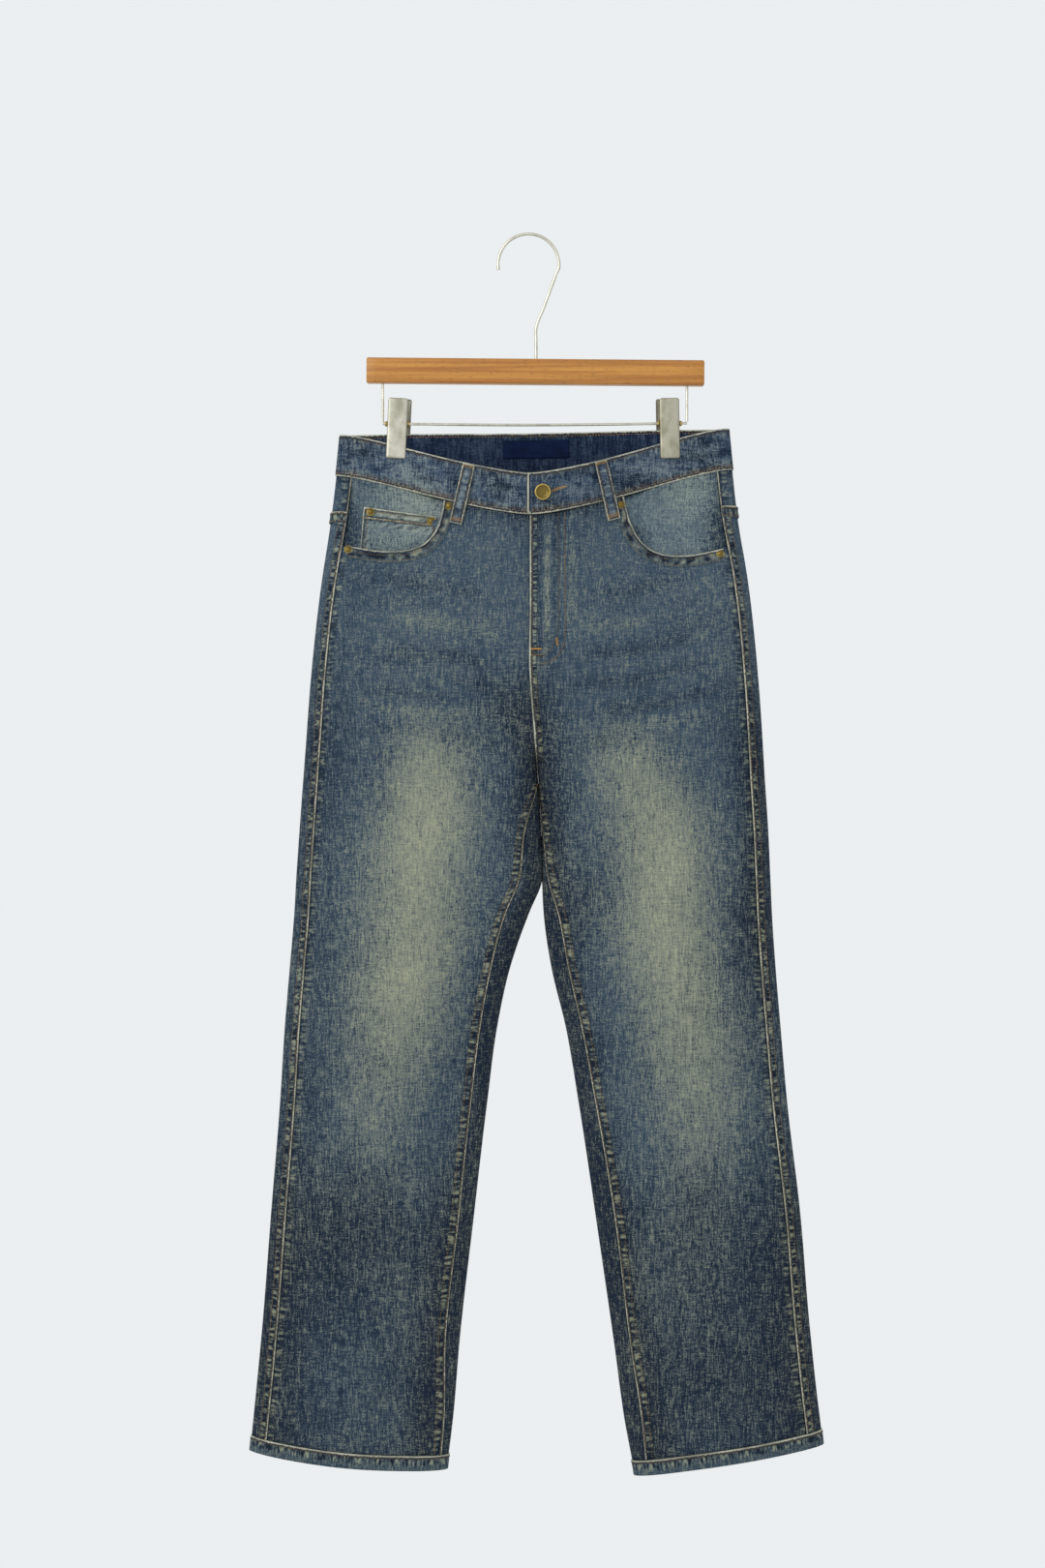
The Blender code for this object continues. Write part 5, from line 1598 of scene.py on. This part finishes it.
brass = brass_material()
BUTTON = (
    (0, 1.9), (3.0, 1.85), (5.6, 2.0), (6.2, 2.5), (6.7, 3.15), (7.3, 3.3), (7.9, 3.15),
    (8.35, 2.6), (8.5, 2.0), (8.3, 1.3), (7.2, 0.95), (3.4, 0.9), (3.4, 0.0), (0, 0.0),
)
seat = band_surface(7.6, WAIST_TOP + 21, True, 1.7 + BAND / 2 + SEAM_GAP + 0.2)
turned("waist_button_brass", BUTTON, 48, brass, ["waist_button"], seat, (0, -1, 0))
RIVET = (
    (0, 1.9), (0.9, 1.85), (1.7, 1.65), (2.4, 1.35), (3.0, 0.95),
    (3.5, 0.5), (4.0, 0.32), (4.3, 0.0), (0, 0.0),
)
RIVETS = (
    ("rivet_right_inner", "right", -89.0, 280.5, 0.0),
    ("rivet_right_outer", "right", -192.0, 326.0, 0.0),
    ("rivet_coin_outer", "right", -169.5, 286.0, coin_depth),
    ("rivet_coin_inner", "right", -107.5, 295.5, coin_depth),
    ("rivet_left_inner", "left", 88.6, 279.5, 0.0),
    ("rivet_left_outer", "left", 190.0, 330.5, 0.0),
)
for name, side, x, down, out in RIVETS:
    under = float(out(x, down)) if callable(out) else out
    spots = np.array([(x, down), (x - 4, down), (x + 4, down), (x, down - 4), (x, down + 4)], float)
    angle, row = fronts[side].find(spots[:, 0], spots[:, 1])
    seats = fronts[side].at(angle, row, under)
    normal = Vector(seats[2] - seats[1]).cross(Vector(seats[4] - seats[3])).normalized()
    normal = normal if normal.y < 0 else -normal
    clearance = DENIM / 2 + SEAM_GAP + (0.35 if callable(out) else 0.15)
    middle = Vector(seats[0]) + normal * clearance
    turned(name + "_brass", RIVET, 28, brass, [name], middle, normal)
print("brass: 1 button,", len(RIVETS), "rivets")

# %% [markdown]
# The hanger's bar is one length of oiled wood with eased edges. Its grain runs along it, so the shader's
# noise is stretched along x.

# %% Wooden bar
BAR = (348.5, 14.0, 26.0)
BAR_MIDDLE = (0.3, 0.0, -140.9)
BAR_TILT = math.atan2(3.0, BAR[0])


def rounded_box(size, radius, steps):
    """A box with rounded long edges, as rows round its section and columns along x, closed at its ends."""
    length, depth, height = size
    outline = []
    for corner, (cy, cz) in enumerate(((1, 1), (-1, 1), (-1, -1), (1, -1))):
        for i in range(5):
            turn = math.radians(90 * corner + 22.5 * i)
            y = cy * (depth / 2 - radius) + radius * math.cos(turn)
            z = cz * (height / 2 - radius) + radius * math.sin(turn)
            outline.append((y, z))
    end = -length / 2
    eased_ends = [(end, 1 - 2.4 / height), (end + 0.4, 1 - 1.0 / height), (end + 1.3, 1.0)]
    stations = eased_ends + [(x, 1.0) for x in np.linspace(-length / 2 + 12, length / 2 - 12, steps)]
    stations += [(-x, scale) for x, scale in reversed(eased_ends)]
    points = [(x, y * scale, z * scale) for x, scale in stations for y, z in outline]
    count = len(outline)
    faces = []
    for start in range(0, (len(stations) - 1) * count, count):
        for k in range(count):
            ahead = (k + 1) % count
            faces.append((start + k, start + ahead, start + count + ahead, start + count + k))
    faces += [tuple(reversed(range(count))), tuple(range(len(points) - count, len(points)))]
    return points, faces


def wood_material():
    """Oiled beech: long fine grain, slow tone bands and short dark flecks."""
    material, tree, shader = start_material("oiled_beech", 0.42)
    bands = grain(tree, (190.0, 9.0, 5.0), detail=3.0)
    fine = grain(tree, (46.0, 1.0, 0.8), detail=2.0)
    fleck = grain(tree, (7.0, 0.7, 0.6), detail=0.0)
    colour = mixed(tree, eased(tree, bands, 0.28, 0.72), linear(158, 98, 34), linear(194, 136, 58))
    colour = mixed(tree, eased(tree, fine, 0.52, 0.75, 0, 0.55), colour, linear(140, 90, 44))
    colour = mixed(tree, eased(tree, fleck, 0.66, 0.74, 0, 0.6), colour, linear(112, 70, 36))
    tree.links.new(colour, shader.inputs["Base Color"])
    tree.links.new(eased(tree, fine, 0.3, 0.8, 0.34, 0.5), shader.inputs["Roughness"])
    add_bump(tree, shader, fine, 0.08)
    return material


def add_mesh(name, points, faces, material, nodes, turn=0.0, middle=(0, 0, 0)):
    """A piece from points in millimetres, turned about Y and moved to its middle."""
    cos, sin = math.cos(turn), math.sin(turn)
    placed = []
    for x, y, z in points:
        spun = (x * cos + z * sin, y, -x * sin + z * cos)
        placed.append([(value + shift) * MM for value, shift in zip(spun, middle)])
    mesh = bpy.data.meshes.new(name)
    mesh.from_pydata(placed, [], faces)
    mesh.materials.append(material)
    mesh.shade_smooth()
    piece = bpy.data.objects.new(name, mesh)
    bpy.context.scene.collection.objects.link(piece)
    finish_piece(piece, nodes)
    return piece


points, faces = rounded_box(BAR, 2.2, 40)
wood = wood_material()
add_mesh("hanger_bar_wood", points, faces, wood, ["hanger_bar"], BAR_TILT, BAR_MIDDLE)
print("bar:", [round(v) for v in BAR], "mm")

# %% [markdown]
# The hook, the rod and the two arms are drawn wire: smooth curves with a round bevel.

# %% Wires
WIRE = 3.4
FRAME_WIRE = 2.8
ROD_DOWN, ROD_TILT, ROD_SAG = 194.3, 0.6, 1.6
ROD_ENDS = {"right": (-157.5, 0.0, -ROD_DOWN), "left": (157.0, 0.0, -ROD_DOWN + ROD_TILT)}
HOOK_STEM = (
    (1.0, 127.55), (1.0, 110.0), (1.0, 96.0), (3.2, 88.0),
    (7.5, 78.0), (12.6, 64.5), (17.6, 51.0), (22.0, 39.0),
)


def steel_material(name, base, scratch):
    """Nickel-plated steel, satin, with fine marks along it and duller patches."""
    material, tree, shader = start_material(name, 0.3, 1.0)
    marks_fine = grain(tree, scratch, detail=2.0)
    dull = grain(tree, (9.0, 9.0, 9.0), detail=3.0)
    colour = mixed(tree, eased(tree, dull, 0.35, 0.75), base, tuple(0.72 * v for v in base))
    tree.links.new(colour, shader.inputs["Base Color"])
    tree.links.new(eased(tree, marks_fine, 0.25, 0.75, 0.24, 0.42), shader.inputs["Roughness"])
    add_bump(tree, shader, marks_fine, 0.03)
    return material


def wire(name, points, diameter, material, nodes):
    curve = bpy.data.curves.new(name, "CURVE")
    curve.dimensions = "3D"
    curve.bevel_depth = diameter / 2 * MM
    curve.bevel_resolution = 5
    curve.use_fill_caps = True
    spline = curve.splines.new("POLY")
    spline.points.add(len(points) - 1)
    for item, point in zip(spline.points, points):
        item.co = (*(Vector(point) * MM), 1)
    spline.use_smooth = True
    curve.materials.append(material)
    piece = bpy.data.objects.new(name, curve)
    bpy.context.scene.collection.objects.link(piece)
    finish_piece(piece, nodes)
    return piece


bright = steel_material("bright_wire_finish", linear(214, 210, 196), (2.2, 2.2, 12.0))
crook = []
for i in range(40):
    turn = math.radians(-8 + 198 * i / 39)
    crook.append((-6.8 + 31.5 * math.cos(turn), 29.8 - 31.5 * math.sin(turn)))
straight = smooth_line(HOOK_STEM, 50)
hook = [(x, 0.0, -down) for x, down in [*straight, *crook]]
wire("hanger_hook_wire", hook, WIRE, bright, ["hanger_hook"])
sagged = []
for i in range(41):
    point = Vector(ROD_ENDS["right"]).lerp(Vector(ROD_ENDS["left"]), i / 40)
    sagged.append(point - Vector((0, 0, ROD_SAG * math.sin(math.pi * i / 40))))
wire("hanger_rod_wire", sagged, FRAME_WIRE, bright, ["hanger_rod"])
for side, (x, y, z) in ROD_ENDS.items():
    bar_foot = BAR_MIDDLE[2] - BAR[2] / 2 - math.tan(BAR_TILT) * x
    top, foot = bar_foot - SEAM_GAP - 0.1, z + FRAME_WIRE / 2 + SEAM_GAP
    run = [(x, y, top + (foot - top) * share) for share in np.linspace(0, 1, 12)]
    wire(f"hanger_arm_{side}_wire", run, FRAME_WIRE, bright, ["hanger_arm_" + side])
print("wires: hook, rod and two arms")

# %% [markdown]
# A trouser clip is two pressed plates with their edges rolled back, held on a pivot. Each has a shallow dent
# near one upper corner. The plates pinch the waistband, and the left pair's plates are given darker colours
# than the right pair's.

# %% Clips
JAW = CLIP_PINCH + BAND / 2 + SEAM_GAP + 0.15
CLIP_SIZE = (20.0, 1.2, 62.0)
CLIP_LEAN = {"right": math.radians(2.6), "left": math.radians(-1.0)}
CLIP_LEVEL = -199.4
REAR_SHIFT = 3.5


def clip_plate(name, centre, lean, outward, material, nodes):
    """A pressed plate: flat in the middle, its long edges rolled back, its corners cut round."""
    width, sheet, length = CLIP_SIZE
    side_steps = np.array([0, 0.25, 0.7, 1.4, 2.4])
    end_steps = np.array([0, 0.3, 0.8, 1.5, 2.4])
    columns = np.concatenate([side_steps, np.arange(4.0, 17.0, 2.0), width - side_steps[::-1]]) - width / 2
    rows = np.concatenate([end_steps, np.linspace(4, length - 4, 24), length - end_steps[::-1]]) - length / 2
    u, v = np.meshgrid(columns, rows)
    corner = 2.4
    over_u = np.clip(np.abs(u) - (width / 2 - corner), 0, corner)
    over_v = np.clip(np.abs(v) - (length / 2 - corner), 0, corner)
    both = np.maximum(np.hypot(over_u, over_v), 1e-6)
    pull = np.where((over_u > 0) & (over_v > 0), np.minimum(1, corner / both), 1.0)
    x = np.sign(u) * (np.abs(u) - over_u + over_u * pull)
    z = np.sign(v) * (np.abs(v) - over_v + over_v * pull)
    rim = np.minimum(width / 2 - np.abs(u), length / 2 - np.abs(v))
    back = 0.62 * np.clip(1 - rim / 1.7, 0, 1) ** 2
    bowed = 0.35 * np.cos(math.pi * u / width) + 0.18 * np.sin(v / 8.0)
    dent = 0.55 * np.exp(-(((u - 5) / 4) ** 2) - (((v - 24) / 5) ** 2))
    y = outward * (sheet / 2 - 0.33 + np.minimum(bowed, 0.35) - back - dent)
    face = np.stack([x, y, z], axis=-1)
    cos, sin = math.cos(lean), math.sin(lean)
    turned_face = np.stack([face[..., 0] * cos + face[..., 2] * sin, face[..., 1],
                            -face[..., 0] * sin + face[..., 2] * cos], axis=-1) + np.array(centre)
    marks = {"edge": np.broadcast_to(rim, u.shape)}
    piece = cloth(name, turned_face, 0.6, material, nodes, marks)
    return piece


def clip_material(name, bright, dull):
    """Brushed nickel plate, a little yellowed, darker in its folded returns."""
    material, tree, shader = start_material(name, 0.4, 0.75)
    brushed = grain(tree, (0.7, 2.0, 22.0), detail=2.0)
    stain = grain(tree, (11.0, 11.0, 16.0), detail=3.0)
    base = mixed(tree, eased(tree, stain, 0.3, 0.75), bright, dull)
    colour = mixed(tree, eased(tree, mark(tree, "edge"), 1.3, 0.2, 0, 0.6), base, linear(112, 106, 88))
    tree.links.new(colour, shader.inputs["Base Color"])
    tree.links.new(eased(tree, brushed, 0.25, 0.75, 0.34, 0.5), shader.inputs["Roughness"])
    add_bump(tree, shader, brushed, 0.05)
    return material


PLATED = {
    "right": clip_material("brushed_clip_right", linear(198, 195, 182), linear(160, 157, 138)),
    "left": clip_material("brushed_clip_left", linear(178, 174, 156), linear(142, 137, 115)),
}
for side in SIDES:
    x = CLIP_X[side]
    plated = PLATED[side]
    front_at = (x, -JAW - CLIP_SIZE[1] / 2, CLIP_LEVEL)
    clip_plate("clip_front_plate_" + side, front_at, CLIP_LEAN[side], -1, plated, ["clip_front_" + side])
    rear_at = (x - SIGN[side] * REAR_SHIFT, JAW + CLIP_SIZE[1] / 2, CLIP_LEVEL)
    clip_plate("clip_rear_plate_" + side, rear_at, CLIP_LEAN[side], 1, plated, ["clip_rear_" + side])
    share = (x - ROD_ENDS["right"][0]) / (ROD_ENDS["left"][0] - ROD_ENDS["right"][0])
    drop = ROD_SAG * math.sin(math.pi * share)
    inner, outer, half, ear = FRAME_WIRE / 2 + 0.35, JAW - SEAM_GAP, 8.5, 12.6
    sleeve = (
        (inner, ear), (outer - 0.5, ear), (outer - 0.2, ear - 0.4), (outer - 0.2, ear - 2.4),
        (outer - 0.9, ear - 2.7), (outer - 0.9, half + 0.4), (outer, half),
        (outer, -half), (outer - 0.9, -half - 0.4), (outer - 0.9, 2.7 - ear),
        (outer - 0.2, 2.4 - ear), (outer - 0.2, 0.4 - ear), (outer - 0.5, -ear), (inner, -ear), (inner, ear),
    )
    at = (x, 0.0, -ROD_DOWN + ROD_TILT * share - drop)
    name = "clip_pivot_" + side
    turned(name + "_brass", sleeve, 32, brass, [name], at, (1, 0, 0))
print("clips: 2 plates and a pivot each")

# %% [markdown]
# The floor only catches a little shade. Its paint has a faint roller texture.

# %% Floor paint
material, tree, shader = start_material("floor_paint", 0.9)
roller = grain(tree, (6.0, 6.0, 6.0), detail=2.0)
colour = mixed(tree, roller, linear(214, 217, 222), linear(226, 229, 233))
tree.links.new(colour, shader.inputs["Base Color"])
add_bump(tree, shader, roller, 0.2)
floor.data.materials.append(material)
print("floor painted")
